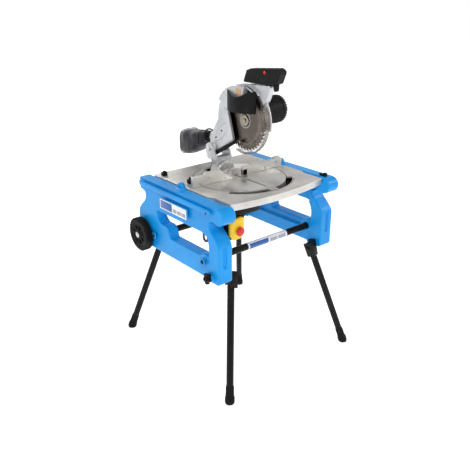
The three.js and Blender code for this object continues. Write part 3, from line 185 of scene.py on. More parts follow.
# %% Finishes: the maker
class Finish(Graph):
    def __init__(self, name, **numbers):
        self.material = bpy.data.materials.new(name)
        self.material.use_nodes = True
        super().__init__(self.material.node_tree)
        self.shader = self.tree.nodes["Principled BSDF"]
        for socket, value in numbers.items():
            self.shader.inputs[socket.replace("_", " ")].default_value = value
        self.place = self.node("ShaderNodeTexCoord", out="Object")

    def noise(self, scale, detail=3.0, rough=0.5, vector=None):
        sockets = {"Vector": vector or self.place, "Scale": scale, "Detail": detail, "Roughness": rough}
        return self.node("ShaderNodeTexNoise", {}, sockets)

    def ramp(self, value, stops):
        return self.node("ShaderNodeValToRGB", {"stops": stops}, {"Fac": value})

    def mix(self, share, first, second):
        sockets = {0: share, 6: first, 7: second}
        return self.node("ShaderNodeMix", {"data_type": "RGBA"}, sockets, out=2)

    def bump(self, height, strength, distance_mm):
        sockets = {"Height": height, "Strength": strength, "Distance": distance_mm * MM}
        self.feed(self.shader.inputs["Normal"], self.node("ShaderNodeBump", {}, sockets))

    def set(self, socket, value):
        self.feed(self.shader.inputs[socket], value)


def rgb(red, green, blue):
    return (red, green, blue, 1.0)


# %% [markdown]
# The side frames are moulded in a bright blue plastic with a satin gloss. The mould leaves a very fine
# texture, and use leaves faint scuffs that dull the gloss and pale the colour a little.

# %% Finish: blue moulding
def blue_moulding():
    f = Finish("blue_moulding", Specular_IOR_Level=0.28, Coat_Weight=0.0, Coat_Roughness=0.2)
    scuffs = f.noise(9.0, 6.0, 0.72)
    grime = f.noise(3.1, 4.0, 0.6)
    tone = f.ramp(grime, [(0.32, (0.002, 0.225, 0.60)), (0.62, (0.003, 0.300, 0.74))])
    scratched = f.ramp(scuffs, [(0.60, (0, 0, 0)), (0.72, (1, 1, 1))])
    f.set("Base Color", f.mix(scratched * 0.16, tone, rgb(0.06, 0.36, 0.72)))
    f.set("Roughness", scratched * 0.16 + f.noise(60.0, 2.0) * 0.10 + 0.27)
    f.bump(f.noise(1500.0, 2.0, 0.6), 0.12, 0.25)
    return f.material


BLUE = blue_moulding()


# %% [markdown]
# Black parts come in four kinds: powder coated tube, grained plastic, soft rubber and hard tyre rubber.
# They differ in gloss and grain rather than in colour, so one function makes them all.

# %% Finishes: the blacks
def black(name, shade, gloss, grain, depth, dust=0.05):
    f = Finish(name, Specular_IOR_Level=0.14)
    worn = f.noise(22.0, 5.0, 0.65)
    dusty = f.ramp(worn, [(0.52, (0, 0, 0)), (0.78, (1, 1, 1))])
    f.set("Base Color", f.mix(dusty * dust, rgb(*[shade] * 3), rgb(0.19, 0.18, 0.17)))
    f.set("Roughness", f.noise(45.0, 3.0) * 0.16 + dusty * 0.10 + (gloss - 0.08))
    f.bump(f.noise(grain, 2.0, 0.55), 0.35, depth)
    return f.material


BLACK_PAINT = black("black_powder_coat", 0.005, 0.36, 900.0, 0.12)
BLACK_PLASTIC = black("grained_black_plastic", 0.005, 0.46, 1300.0, 0.18, 0.07)
RUBBER = black("soft_rubber", 0.006, 0.72, 600.0, 0.15, 0.16)
TYRE_RUBBER = black("tyre_rubber", 0.008, 0.66, 420.0, 0.25, 0.20)
# The near-black below is painted shade, set in recesses, slots and vents where shade falls; it also prints
# the mitre scale marks.
SHADE_AND_MARK_BLACK = black("shadowed_recess", 0.004, 0.70, 800.0, 0.05, 0.0)


# %% [markdown]
# The castings are aluminium with a silvery sprayed skin: a fine grain in the height, cloudy changes in
# tone, and slightly rougher patches. Machined faces are brighter and carry the marks of the cutter.

# %% Finishes: the aluminiums
def cast_aluminium(name, tone, rough, metal=0.85):
    f = Finish(name)
    clouds = f.noise(14.0, 5.0, 0.6)
    low, high = [c * 0.80 for c in tone], list(tone)
    f.set("Base Color", f.ramp(clouds, [(0.33, low), (0.66, high)]))
    f.set("Metallic", metal)
    f.set("Roughness", f.noise(90.0, 4.0, 0.6) * 0.20 + (rough - 0.10))
    f.bump(f.noise(1100.0, 3.0, 0.7), 0.32, 0.3)
    return f.material


CAST = cast_aluminium("cast_aluminium_skin", (0.62, 0.63, 0.65), 0.44, 0.75)
TABLE_CAST = cast_aluminium("table_casting_skin", (0.66, 0.64, 0.605), 0.42, 0.6)


# %% [markdown]
# The turntable is faced in a lathe, and the blade is ground on a turning plate, so both carry rings
# round their centres. Rings give the bright streaks that run out from the middle: a Wave texture in
# its ring form makes them, as height only.

# %% Finishes: turned and ground metal
def ringed_metal(name, centre_mm, axis, tone, rough, pitch_mm, strength, stain=0.0, fan=0.0):
    f = Finish(name, Metallic=1.0, Anisotropic=fan)
    moved = f.node("ShaderNodeMapping", {}, {"Vector": f.place, "Location": [-c * MM for c in centre_mm]})
    rings = {"wave_type": "RINGS", "rings_direction": axis, "wave_profile": "SIN"}
    size = {"Vector": moved, "Scale": 0.314 / (pitch_mm * MM), "Distortion": 0.6, "Detail": 2.0}
    wave = f.node("ShaderNodeTexWave", rings, size, out="Fac")
    coarse = f.node("ShaderNodeTexWave", rings, {**size, "Scale": 0.07 / (pitch_mm * MM)}, out="Fac")
    patches = f.noise(11.0, 5.0, 0.65)
    dull = f.ramp(patches, [(0.45, (0, 0, 0)), (0.75, (1, 1, 1))])
    f.set("Base Color", f.mix(dull * stain, rgb(*tone), rgb(0.23, 0.19, 0.16)))
    f.set("Roughness", wave * 0.10 + coarse * 0.08 + dull * 0.12 + rough)
    f.bump(wave + coarse * 0.6, strength, 0.05)
    return f.material


TURN_CENTRE = (0, -30, 812)
TURNED = ringed_metal("turned_aluminium_rings", TURN_CENTRE, "Z", (0.74, 0.73, 0.70), 0.22, 0.7, 0.5, 0.0,
                      0.8)
BLADE_CENTRE = (0, -64, 1063)
BLADE_STEEL = ringed_metal("ground_blade_steel", BLADE_CENTRE, "X", (0.105, 0.088, 0.077), 0.13, 0.6, 0.3,
                           0.45)


def plain_metal(name, tone, rough):
    f = Finish(name, Metallic=1.0)
    f.set("Base Color", f.ramp(f.noise(40.0, 4.0), [(0.3, [c * 0.8 for c in tone]), (0.7, tone)]))
    f.set("Roughness", f.noise(120.0, 3.0) * 0.16 + rough)
    return f.material


STEEL = plain_metal("zinc_plated_steel", (0.62, 0.62, 0.60), 0.20)
DARK_STEEL = plain_metal("blackened_steel", (0.07, 0.07, 0.075), 0.34)
CARBIDE = plain_metal("carbide_tip", (0.30, 0.29, 0.28), 0.30)
COPPER = plain_metal("wound_copper", (0.55, 0.22, 0.09), 0.32)


# %% [markdown]
# The switch is bright signal plastic, with a finer gloss than the frames. The lower guard is clear
# polycarbonate that sawdust has frosted: partly see-through, with fine scratches in its roughness.

# %% Finishes: signal plastics, clear guard and labels
def gloss_plastic(name, tone, rough=0.28):
    f = Finish(name, Coat_Weight=0.0)
    shade = f.noise(30.0, 3.0)
    f.set("Base Color", f.ramp(shade, [(0.35, [c * 0.88 for c in tone]), (0.65, tone)]))
    f.set("Roughness", f.noise(80.0, 2.0) * 0.12 + rough - 0.05)
    f.bump(f.noise(900.0, 2.0), 0.10, 0.1)
    return f.material


YELLOW = gloss_plastic("signal_yellow", (0.86, 0.56, 0.008))
RED = gloss_plastic("stop_red", (0.62, 0.018, 0.012), 0.22)
GREEN = gloss_plastic("start_green", (0.02, 0.32, 0.07))
LABEL_WHITE = gloss_plastic("label_white", (0.78, 0.79, 0.80))
LABEL_BLUE = gloss_plastic("label_blue", (0.015, 0.10, 0.36))
LABEL_GREY = gloss_plastic("label_grey", (0.30, 0.33, 0.38))
LABEL_TAN = gloss_plastic("label_tan", (0.62, 0.36, 0.17))


def clear_plastic(name, density):
    f = Finish(name, IOR=1.5, Transmission_Weight=0.0)
    haze = f.ramp(f.noise(26.0, 6.0, 0.7), [(0.42, (0, 0, 0)), (0.75, (1, 1, 1))])
    f.set("Base Color", f.mix(haze * 0.5, rgb(0.22, 0.18, 0.15), rgb(0.60, 0.56, 0.52)))
    f.set("Roughness", haze * 0.20 + 0.07)
    f.set("Alpha", haze * 0.14 + density)
    f.bump(f.noise(500.0, 3.0), 0.12, 0.15)
    return f.material


CLEAR = clear_plastic("clear_guard_wall", 0.12)
CLEAR_EDGE = clear_plastic("clear_guard_edge", 0.42)


# %% [markdown]
# The dust bag is a tight black polyester weave. Two Wave textures at right angles give warp and weft,
# and a slower noise gives the sawdust and the lighter fibres that lie on the high folds.

# %% Finish: woven bag
def bag_weave():
    f = Finish("black_bag_weave", Sheen_Weight=0.35, Sheen_Roughness=0.5)
    thread = 0.314 / (0.9 * MM)
    bands = {"wave_type": "BANDS", "wave_profile": "SIN"}
    warp = f.node("ShaderNodeTexWave", {**bands, "bands_direction": "DIAGONAL"},
                  {"Vector": f.place, "Scale": thread * 0.6}, out="Fac")
    weft = f.node("ShaderNodeTexWave", {**bands, "bands_direction": "Z"},
                  {"Vector": f.place, "Scale": thread}, out="Fac")
    dust = f.ramp(f.noise(24.0, 6.0, 0.7), [(0.50, (0, 0, 0)), (0.80, (1, 1, 1))])
    f.set("Base Color", f.mix(dust * 0.25, rgb(0.012, 0.012, 0.016), rgb(0.09, 0.085, 0.085)))
    f.set("Roughness", warp * 0.10 + 0.82)
    f.bump(warp * weft + f.noise(120.0, 4.0) * 0.6, 0.5, 0.35)
    return f.material


BAG_CLOTH = bag_weave()
print("finishes:", len(bpy.data.materials))


# %% [markdown]
# Shapes are made from a few drawn lines. An outline is a list of corners, each of which may carry a
# radius; `rounded` turns it into a chain of points with true arcs. `plate` fills an outline as a flat
# Blender curve, gives it a thickness and a rolled edge, and hands back a mesh. `lathe` turns a profile
# about an axis. Both work in millimetres along the CAD's own axes, so their numbers can be compared
# with the part's.

# %% Outlines, plates and lathe work
TURNS = {
    "X": Matrix(((0, 0, 1), (1, 0, 0), (0, 1, 0))).to_4x4(),
    "Y": Matrix(((0, 1, 0), (0, 0, 1), (1, 0, 0))).to_4x4(),
    "Z": Matrix.Identity(4),
}


def rounded(corners, steps=5):
    points = []
    for i, corner in enumerate(corners):
        here = Vector(corner[:2])
        radius = corner[2] if len(corner) > 2 else 0
        before = (Vector(corners[i - 1][:2]) - here).normalized()
        after = (Vector(corners[(i + 1) % len(corners)][:2]) - here).normalized()
        half = before.angle(after) / 2
        if radius <= 0 or half > 1.55:
            points.append(here)
            continue
        middle = here + (before + after).normalized() * radius / math.sin(half)
        start = here + before * radius / math.tan(half) - middle
        turn = math.pi - 2 * half
        if before.y * after.x - before.x * after.y < 0:
            turn = -turn
        for k in range(steps + 1):
            angle = turn * k / steps
            points.append(middle + Matrix.Rotation(angle, 2) @ start)
    return points


def arc(centre, radius, start, stop, steps):
    spread = [math.radians(start + (stop - start) * k / steps) for k in range(steps + 1)]
    return [Vector((centre[0] + radius * math.cos(a), centre[1] + radius * math.sin(a))) for a in spread]


def tidy(mesh, distance=0.02):
    bm = bmesh.new()
    bm.from_mesh(mesh)
    bmesh.ops.remove_doubles(bm, verts=bm.verts, dist=distance * MM)
    bmesh.ops.recalc_face_normals(bm, faces=bm.faces)
    bm.to_mesh(mesh)
    bm.free()
    return mesh


def plate(axis, outlines, span, edge=1.0, segments=2):
    low, high = sorted(span)
    curve = bpy.data.curves.new("plate", "CURVE")
    curve.dimensions, curve.fill_mode = "2D", "BOTH"
    curve.extrude, curve.bevel_depth = (high - low) / 2 - edge, edge
    curve.offset, curve.bevel_resolution = -edge, segments
    for points in outlines:
        spline = curve.splines.new("POLY")
        spline.points.add(len(points) - 1)
        for slot, point in zip(spline.points, points):
            slot.co = (point[0], point[1], 0, 1)
        spline.use_cyclic_u = True
    holder = bpy.data.objects.new("plate", curve)
    bpy.context.scene.collection.objects.link(holder)
    bpy.context.view_layer.update()
    mesh = bpy.data.meshes.new_from_object(holder.evaluated_get(bpy.context.evaluated_depsgraph_get()))
    bpy.data.objects.remove(holder)
    lift = Matrix.Translation((0, 0, (low + high) / 2))
    mesh.transform(Matrix.Scale(MM, 4) @ TURNS[axis] @ lift)
    return tidy(mesh)


def lathe(axis, centre, profile, sides=56, place=None):
    bm = bmesh.new()
    closed = (Vector(profile[0]) - Vector(profile[-1])).length < 1e-6
    rows = profile[:-1] if closed else profile
    rings = []
    for radius, height in rows:
        if radius < 1e-6:
            rings.append([bm.verts.new((0, 0, height))])
            continue
        spread = [2 * math.pi * k / sides for k in range(sides)]
        rings.append([bm.verts.new((radius * math.cos(a), radius * math.sin(a), height)) for a in spread])
    pairs = list(zip(rings, rings[1:])) + ([(rings[-1], rings[0])] if closed else [])
    for first, second in pairs:
        for k in range(sides):
            n = (k + 1) % sides
            corners = [first[k % len(first)], first[n % len(first)], second[n % len(second)],
                       second[k % len(second)]]
            unique = list(dict.fromkeys(corners))
            if len(unique) > 2:
                bm.faces.new(unique)
    mesh = bpy.data.meshes.new("lathe")
    bm.to_mesh(mesh)
    bm.free()
    a, b = centre
    at = {"X": (0, a, b), "Y": (a, 0, b), "Z": (a, b, 0)}[axis]
    mesh.transform(Matrix.Scale(MM, 4) @ (place or Matrix.Identity(4)) @ Matrix.Translation(at) @ TURNS[axis])
    return tidy(mesh)


def cylinder(axis, centre, radius, span, edge=1.0, sides=48, place=None):
    low, high = sorted(span)
    e = min(edge, radius * 0.5, (high - low) * 0.45)
    bend = [(radius - e + e * math.sin(t), high - e + e * math.cos(t)) for t in (math.pi / 2, math.pi / 4, 0)]
    foot = [(radius - e + e * math.cos(t), low + e - e * math.sin(t)) for t in (math.pi / 2, math.pi / 4, 0)]
    return lathe(axis, centre, [(0, low), *foot, *bend, (0, high)], sides, place)


# %% [markdown]
# A finished piece is one object at the origin.

# %% Finished pieces
PIECES = {}


def make(name, finish, body, meshes, nodes=(), smooth=32):
    bm = bmesh.new()
    for mesh in meshes if isinstance(meshes, list) else [meshes]:
        bm.from_mesh(mesh)
    mesh = bpy.data.meshes.new(name)
    bm.to_mesh(mesh)
    bm.free()
    mesh.materials.append(finish)
    for face in mesh.polygons:
        face.material_index = 0
    mesh.shade_smooth()
    mesh.set_sharp_from_angle(angle=math.radians(smooth))
    thing = bpy.data.objects.new(name, mesh)
    bpy.context.scene.collection.objects.link(thing)
    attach(thing, body)
    if nodes:
        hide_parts(*nodes)
    PIECES[name] = thing
    return thing


def mirrored(mesh):
    other = mesh.copy()
    other.transform(Matrix.Scale(-1, 4, (1, 0, 0)))
    other.flip_normals()
    return other


def modified(mesh, *modifiers):
    holder = bpy.data.objects.new("work", mesh)
    bpy.context.scene.collection.objects.link(holder)
    for kind, settings in modifiers:
        modifier = holder.modifiers.new(kind, kind)
        for key, value in settings.items():
            setattr(modifier, key, value)
    bpy.context.view_layer.update()
    result = bpy.data.meshes.new_from_object(holder.evaluated_get(bpy.context.evaluated_depsgraph_get()))
    bpy.data.objects.remove(holder)
    return result


def carved(mesh, cutter, operation="DIFFERENCE"):
    tool = bpy.data.objects.new("tool", cutter)
    bpy.context.scene.collection.objects.link(tool)
    result = modified(mesh, ("BOOLEAN", {"object": tool, "operation": operation, "solver": "EXACT"}))
    bpy.data.objects.remove(tool)
    return result


def joined(*meshes):
    bm = bmesh.new()
    for mesh in meshes:
        bm.from_mesh(mesh)
    mesh = bpy.data.meshes.new("joined")
    bm.to_mesh(mesh)
    bm.free()
    return mesh


def node_copy(node):
    return tidy(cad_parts[node].data.copy())


# %% [markdown]
# Moulded and cast parts have no sharp edges: the plastic or metal flows round every corner, inside and
# out. The quickest way to that skin is a voxel remesh, which turns any solid into an even net of small
# squares, followed by a little smoothing that rounds each edge by about the size of a square. Flat
# areas are then thinned again, because they need few faces.

# %% Moulded skins
def moulded(mesh, grain_mm, passes=4, keep=0.5):
    steps = [
        ("REMESH", {"mode": "VOXEL", "voxel_size": grain_mm * MM, "use_smooth_shade": True}),
        ("SMOOTH", {"factor": 0.5, "iterations": passes}),
    ]
    if keep < 1:
        steps.append(("DECIMATE", {"ratio": keep}))
    return modified(mesh, *steps)


def eased(mesh, width_mm, angle=30, segments=2):
    bm = bmesh.new()
    bm.from_mesh(mesh)
    bmesh.ops.dissolve_limit(bm, angle_limit=math.radians(1.0), verts=bm.verts, edges=bm.edges)
    flat = bpy.data.meshes.new("flat")
    bm.to_mesh(flat)
    bm.free()
    settings = {
        "width": width_mm * MM,
        "segments": segments,
        "limit_method": "ANGLE",
        "angle_limit": math.radians(angle),
        "use_clamp_overlap": True,
        "harden_normals": False,
    }
    return modified(flat, ("BEVEL", settings))


# %% [markdown]
# Many of the saw's details repeat round a circle: tyre blocks, the painted shade of the motor vents, scale
# marks, blade tips. One Geometry Nodes tree makes them all. It lays points along an arc, turns a small block
# to face outwards at each of them, makes the copies real and gives them their material.

# %% Geometry Nodes: blocks round an arc
class Recipe(Graph):
    def __init__(self, name, inputs):
        super().__init__(bpy.data.node_groups.new(name, "GeometryNodeTree"))
        for label, kind in inputs.items():
            self.tree.interface.new_socket(label, in_out="INPUT", socket_type="NodeSocket" + kind)
        self.tree.interface.new_socket("Geometry", in_out="OUTPUT", socket_type="NodeSocketGeometry")
        self.door = self.tree.nodes.new("NodeGroupInput")

    def given(self, label):
        return Wire(self, self.door.outputs[label])

    def finish(self, geometry):
        painted = self.node("GeometryNodeSetMaterial", {},
                            {"Geometry": geometry, "Material": self.given("Material")})
        self.feed(self.tree.nodes.new("NodeGroupOutput").inputs["Geometry"], painted)
        return self.tree

    def vector(self, x=0.0, y=0.0, z=0.0):
        return self.node("ShaderNodeCombineXYZ", {}, {"X": x, "Y": y, "Z": z})


def grown(tree, values, seed_mesh=None):
    holder = bpy.data.objects.new("grown", seed_mesh or bpy.data.meshes.new("grown"))
    bpy.context.scene.collection.objects.link(holder)
    modifier = holder.modifiers.new("grow", "NODES")
    modifier.node_group = tree
    for item in tree.interface.items_tree:
        if item.in_out == "INPUT" and item.name in values:
            modifier[item.identifier] = values[item.name]
    bpy.context.view_layer.update()
    mesh = bpy.data.meshes.new_from_object(holder.evaluated_get(bpy.context.evaluated_depsgraph_get()))
    bpy.data.objects.remove(holder)
    return mesh


def blocks_round_arc():
    r = Recipe("blocks_round_arc", {
        "Count": "Int", "Radius": "Float", "Start": "Float", "Sweep": "Float",
        "Size": "Vector", "Rake": "Float", "Lean": "Float", "Material": "Material"})
    line = r.node("GeometryNodeMeshLine", {}, {"Count": r.given("Count"), "Offset": (0, 0, 0)})
    index = r.node("GeometryNodeInputIndex")
    share = r.node("ShaderNodeMath", {"operation": "DIVIDE"}, {0: index, 1: r.given("Count") + 0.0})
    angle = share * r.given("Sweep") + r.given("Start")
    cos = r.node("ShaderNodeMath", {"operation": "COSINE"}, {0: angle})
    sin = r.node("ShaderNodeMath", {"operation": "SINE"}, {0: angle})
    spot = r.vector(cos * r.given("Radius"), sin * r.given("Radius"))
    spots = r.node("GeometryNodeSetPosition", {}, {"Geometry": line, "Position": spot})
    block = r.node("GeometryNodeMeshCube", {}, {"Size": r.given("Size")})
    turn = r.vector(r.given("Lean"), 0.0, angle + r.given("Rake"))
    rotation = r.node("FunctionNodeEulerToRotation", {}, {"Euler": turn})
    copies = r.node("GeometryNodeInstanceOnPoints", {},
                    {"Points": spots, "Instance": block, "Rotation": rotation})
    return r.finish(r.node("GeometryNodeRealizeInstances", {}, {"Geometry": copies}))


BLOCKS = blocks_round_arc()


def ring_of_blocks(axis, centre, level, count, radius, size, start=0.0, sweep=360.0, rake=0.0, lean=0.0):
    values = {"Count": count, "Radius": radius * MM, "Start": math.radians(start),
              "Sweep": math.radians(sweep),
              "Size": [s * MM for s in size], "Rake": math.radians(rake), "Lean": math.radians(lean)}
    mesh = grown(BLOCKS, values)
    a, b = centre
    at = {"X": (level, a, b), "Y": (a, level, b), "Z": (a, b, level)}[axis]
    mesh.transform(Matrix.Translation(Vector(at) * MM) @ TURNS[axis])
    return mesh


# %% [markdown]
# Screws and bolts are the other repeat. The next tree stands a socket screw on each point of a mesh,
# turned to face along that point's own direction, which is stored on the points as an attribute. The
# screw is a chamfered head with a six-sided socket cut into it.

# %% Geometry Nodes: socket screws on points
def screws_on_points():
    r = Recipe("screws_on_points", {
        "Points": "Geometry", "Head radius": "Float", "Head height": "Float", "Socket radius": "Float",
        "Material": "Material"})
    high = r.given("Head height")
    head = r.node("GeometryNodeMeshCone", {}, {
        "Vertices": 20, "Radius Top": r.given("Head radius") * 0.86, "Radius Bottom": r.given("Head radius"),
        "Depth": high}, out=0)
    socket = r.node("GeometryNodeMeshCylinder", {}, {
        "Vertices": 6, "Radius": r.given("Socket radius"), "Depth": high}, out=0)
    raised = r.node("GeometryNodeTransform", {},
                    {"Geometry": socket, "Translation": r.vector(0, 0, high * 0.6)})
    cut = r.node("GeometryNodeMeshBoolean", {"operation": "DIFFERENCE"}, {"Mesh 1": head, "Mesh 2": raised})
    facing = r.node("GeometryNodeInputNamedAttribute", {"data_type": "FLOAT_VECTOR"}, {"Name": "facing"})
    rotation = r.node("FunctionNodeAlignRotationToVector", {"axis": "Z"}, {"Vector": facing})
    copies = r.node("GeometryNodeInstanceOnPoints", {}, {
        "Points": r.given("Points"), "Instance": cut, "Rotation": rotation})
    return r.finish(r.node("GeometryNodeRealizeInstances", {}, {"Geometry": copies}))


SCREWS = screws_on_points()


def screws(places, radius, height, socket):
    """places is a list of (point in mm, direction)."""
    mesh = bpy.data.meshes.new("places")
    mesh.from_pydata([Vector(p) * MM for p, _ in places], [], [])
    facing = mesh.attributes.new("facing", "FLOAT_VECTOR", "POINT")
    for item, (_, way) in zip(facing.data, places):
        item.vector = Vector(way).normalized()
    values = {"Head radius": radius * MM, "Head height": height * MM, "Socket radius": socket * MM}
    return grown(SCREWS, values, mesh)


print("helpers ready")


# %% [markdown]
# The two side frames are the biggest pieces: hollow blue mouldings with a deep upper beam, two posts and
# a lower rail. The CAD solid already has the right form, so a moulded skin is grown from it, together
# with the ribs that stiffen the beam's inner face. The left frame is the right one's mirror image.

# %% Side frames
def frame_extras():
    low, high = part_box("right_side_frame")
    inner, outer, top = low.x / MM + 17, high.x / MM, 810
    pieces = []
    # A raised band runs round the outer face of the beam, and a bead under its top edge.
    band = rounded([(-252, 800, 8), (252, 800, 8), (252, 776, 8), (-252, 776, 8)])
    pieces.append(plate("X", [band], (outer - 3, outer + 1.6), 1.5))
    for y in (-150, -90, -30, 90, 150, 210):
        rib = rounded([(y - 3, 700, 2), (y + 3, 700, 2), (y + 3, top - 8, 2), (y - 3, top - 8, 2)])
        pieces.append(plate("X", [rib], (inner - 1.5, inner + 6), 0.8))
    pad = rounded([(-106, 763, 5), (-106, 716, 5), (88, 716, 5), (88, 763, 5)])
    pieces.append(plate("X", [pad], (outer - 3, outer + 1.2), 1.0))
    # Collars round the two cross tube bolts.
    for y, radius in ((-196, 17), (154, 16)):
        ring = [(6, outer - 4), (radius, outer - 4), (radius, outer + 1), (radius - 2, outer + 3),
                (10, outer + 3),
                (8, outer + 1), (8, outer - 3.9), (6, outer - 4)]
        pieces.append(lathe("X", (y, 566), ring, 32))
    return pieces


solid = joined(node_copy("right_side_frame"), *frame_extras())
right_skin = moulded(solid, 3.0, 5, 0.42)
make("blue_side_frame_right", BLUE, "stand", right_skin, ["right_side_frame"], 45)
left_skin = mirrored(right_skin)
make("blue_side_frame_left", BLUE, "stand", left_skin, ["left_side_frame"], 45)
print("side frame skin:", len(right_skin.polygons), "faces")


# %% [markdown]
# A label plate sits on the outer face of each beam, and a wrap on the front cross tube. Both are plain
# coloured blocks with no lettering: a white ground, a blue field and grey bars.

# %% Labels
def label(name, x, y0, y1, z0, z1, side):
    face = side * x
    layers = [("ground", LABEL_WHITE, (y0, y1, z0, z1), 0.5)]
    width, height = y1 - y0, z1 - z0
    split = y0 + width * 0.53
    layers.append(("field", LABEL_BLUE, (split, y1 - 5, z0 + 4, z1 - 4), 0.7))
    for k in range(3):
        a = y0 + 6 + k * (split - y0 - 8) / 3
        b = a + (split - y0 - 8) / 3 - 4
        layers.append((f"bar_{k}", LABEL_GREY, (a, b, z0 + 6, z0 + height * 0.52), 0.7))
    for part, finish, (a, b, c, d), lift in layers:
        shape = rounded([(a, c, 2.5), (b, c, 2.5), (b, d, 2.5), (a, d, 2.5)], 4)
        span = sorted((face - side * 2.4, face + side * lift))
        made = plate("X", [shape], span, 0.12, 1)
        make(f"{name}_{part}", finish, "stand", made)


label_face = 338.6
label("beam_label_left", label_face, -98, 88, 716, 758, -1)
label("beam_label_right", label_face, -98, 88, 716, 758, 1)


# %% [markdown]
# The tubes are round steel, powder coated. Each is a lathe profile, so it stays round
# at any distance. The wrap on the front tube is a thin sleeve a third of a millimetre thick.

# %% Cross tubes and their wrap
TUBE_R = 15
CROSS_Z = 566
for name, y in (("front_cross_tube", -196), ("rear_cross_tube", 154)):
    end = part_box(name)[1].x / MM
    bar = [(TUBE_R - 2, -end), (TUBE_R, -end), (TUBE_R, end), (TUBE_R - 2, end), (TUBE_R - 2, -end)]
    make(name + "_coated", BLACK_PAINT, "stand", lathe("X", (y, CROSS_Z), bar), [name])


def sleeve(name, finish, start, end, lift, arc_from=0, arc_to=360):
    outer = arc((0, 0), TUBE_R + lift, arc_from, arc_to, 40)
    inner = arc((0, 0), TUBE_R + 0.02, arc_to, arc_from, 40)
    mesh = plate("X", [[p + Vector((-196, CROSS_Z)) for p in outer + inner]], (start, end), 0.05, 0)
    make(name, finish, "stand", mesh)


sleeve("tube_wrap_white", LABEL_WHITE, -104, 122, 0.35, 60, 300)
sleeve("tube_wrap_blue", LABEL_BLUE, -96, 10, 0.6, 128, 232)
for k, (start, end) in enumerate(((20, 62), (68, 112))):
    sleeve(f"tube_wrap_grey_{k}", LABEL_GREY, start, end, 0.6, 150, 226)


# %% [markdown]
# Each wheel is three pieces: a tyre with a block tread, a dished plastic hub with spokes pressed into
# it, and a bright axle cap. The tread blocks are the first use of the ring tree.

# %% Wheels
WHEEL = (244, 549)
WHEEL_IN, WHEEL_OUT = 330, 366
WHEEL_R, HUB_R = 77, 51


def tyre_profile():
    mid = (WHEEL_IN + WHEEL_OUT) / 2
    crown = [(WHEEL_R - 2.2 - 9 * (1 - math.cos(t)), mid + 17.5 * math.sin(t)) for t in
             [math.radians(-90 + 15 * k) for k in range(13)]]
    return [(HUB_R + 0.3, WHEEL_IN + 4), (HUB_R + 4, WHEEL_IN + 1.5), *crown, (HUB_R + 4, WHEEL_OUT - 1.5),
            (HUB_R + 0.3, WHEEL_OUT - 4), (HUB_R + 0.3, WHEEL_IN + 4)]


def hub_profile():
    return [(6.4, WHEEL_IN + 2), (HUB_R, WHEEL_IN + 4), (HUB_R, WHEEL_OUT - 5), (HUB_R - 3, WHEEL_OUT - 3.4),
            (HUB_R - 6, WHEEL_OUT - 4), (HUB_R - 12, WHEEL_OUT - 11), (HUB_R - 22, WHEEL_OUT - 12),
            (HUB_R - 28, WHEEL_OUT - 6), (HUB_R - 31, WHEEL_OUT - 1.5), (HUB_R - 33, WHEEL_OUT - 0.5),
            (6.4, WHEEL_OUT - 0.2), (6.4, WHEEL_IN + 2)]


tread = [ring_of_blocks("X", WHEEL, (WHEEL_IN + WHEEL_OUT) / 2 + shift, 44, WHEEL_R - 2.2, (3.4, 6.4, 12),
                        turn)
         for shift, turn in ((-7.6, 0), (7.6, 4.1))]
spokes = ring_of_blocks("X", WHEEL, WHEEL_OUT - 8.5, 8, 34, (17, 5, 8))
wheel_parts = (
    ("tyre", TYRE_RUBBER, "tyre", [lathe("X", WHEEL, tyre_profile(), 96), *tread], "wheel_tyre"),
    ("hub", BLACK_PLASTIC, "black_plastic", [lathe("X", WHEEL, hub_profile(), 72), spokes], "wheel_hub"),
)
axle_cap = [(0, WHEEL_OUT + 5), (5, WHEEL_OUT + 5), (10, WHEEL_OUT + 4), (13, WHEEL_OUT + 1.6),
            (13, WHEEL_OUT + 1),
            (6, WHEEL_OUT + 1), (6, 296), (0, 296)]
for side, flip in (("right", False), ("left", True)):
    for part, finish, slot, meshes, node in wheel_parts:
        mesh = joined(*meshes)
        mesh = mirrored(mesh) if flip else mesh
        make(f"wheel_{part}_{side}_round", finish, f"wheel_{side}", mesh, [f"{node}_{side}"])
    cap = lathe("X", WHEEL, axle_cap, 40)
    make(f"wheel_axle_{side}_turned", STEEL, "stand", mirrored(cap) if flip else cap,
         [f"wheel_axle_{side}"])
print("wheels: 2 of", round(2 * WHEEL_R), "mm")


# %% [markdown]
# The legs splay outwards, so they are made standing upright in a frame of their own and then turned
# into place. That frame is worked out from two points that the CAD fixes: the hinge, and the place
# where the leg's axis meets the floor.

# %% Where each leg stands
HINGE = Vector((234, 250, 487))
FOOT_PLACE = Vector((355, 385, 0))
FOLD = {"front": (10, 0), "rear": (6, 8)}


def leg_place(which):
    s = -1 if which == "front" else 1
    hinge = Vector((HINGE.x, s * HINGE.y, HINGE.z))
    foot = Vector((FOOT_PLACE.x, s * FOOT_PLACE.y, 0))
    inward, down = (math.radians(v) for v in FOLD[which])
    folded = Vector((-math.sin(inward) * math.cos(down), -s * math.cos(inward) * math.cos(down),
                     -math.sin(down)))
    up = (hinge - foot).normalized()
    out = (-up).cross(folded).normalized()
    out = -out if out.x < 0 else out
    matrix = Matrix((out, up.cross(out), up)).transposed().to_4x4()
    return Matrix.Translation(hinge) @ matrix, (hinge - foot).length


# %% Legs, feet, lock knobs and brackets
def leg_profile(length):
    bottom, r = -(length - 26), TUBE_R
    return [(0, bottom), (r - 1, bottom), (r, bottom + 1), (r, -r * 0.4), (r * 0.9, r * 0.4),
            (r * 0.6, r * 0.8), (0, r)]


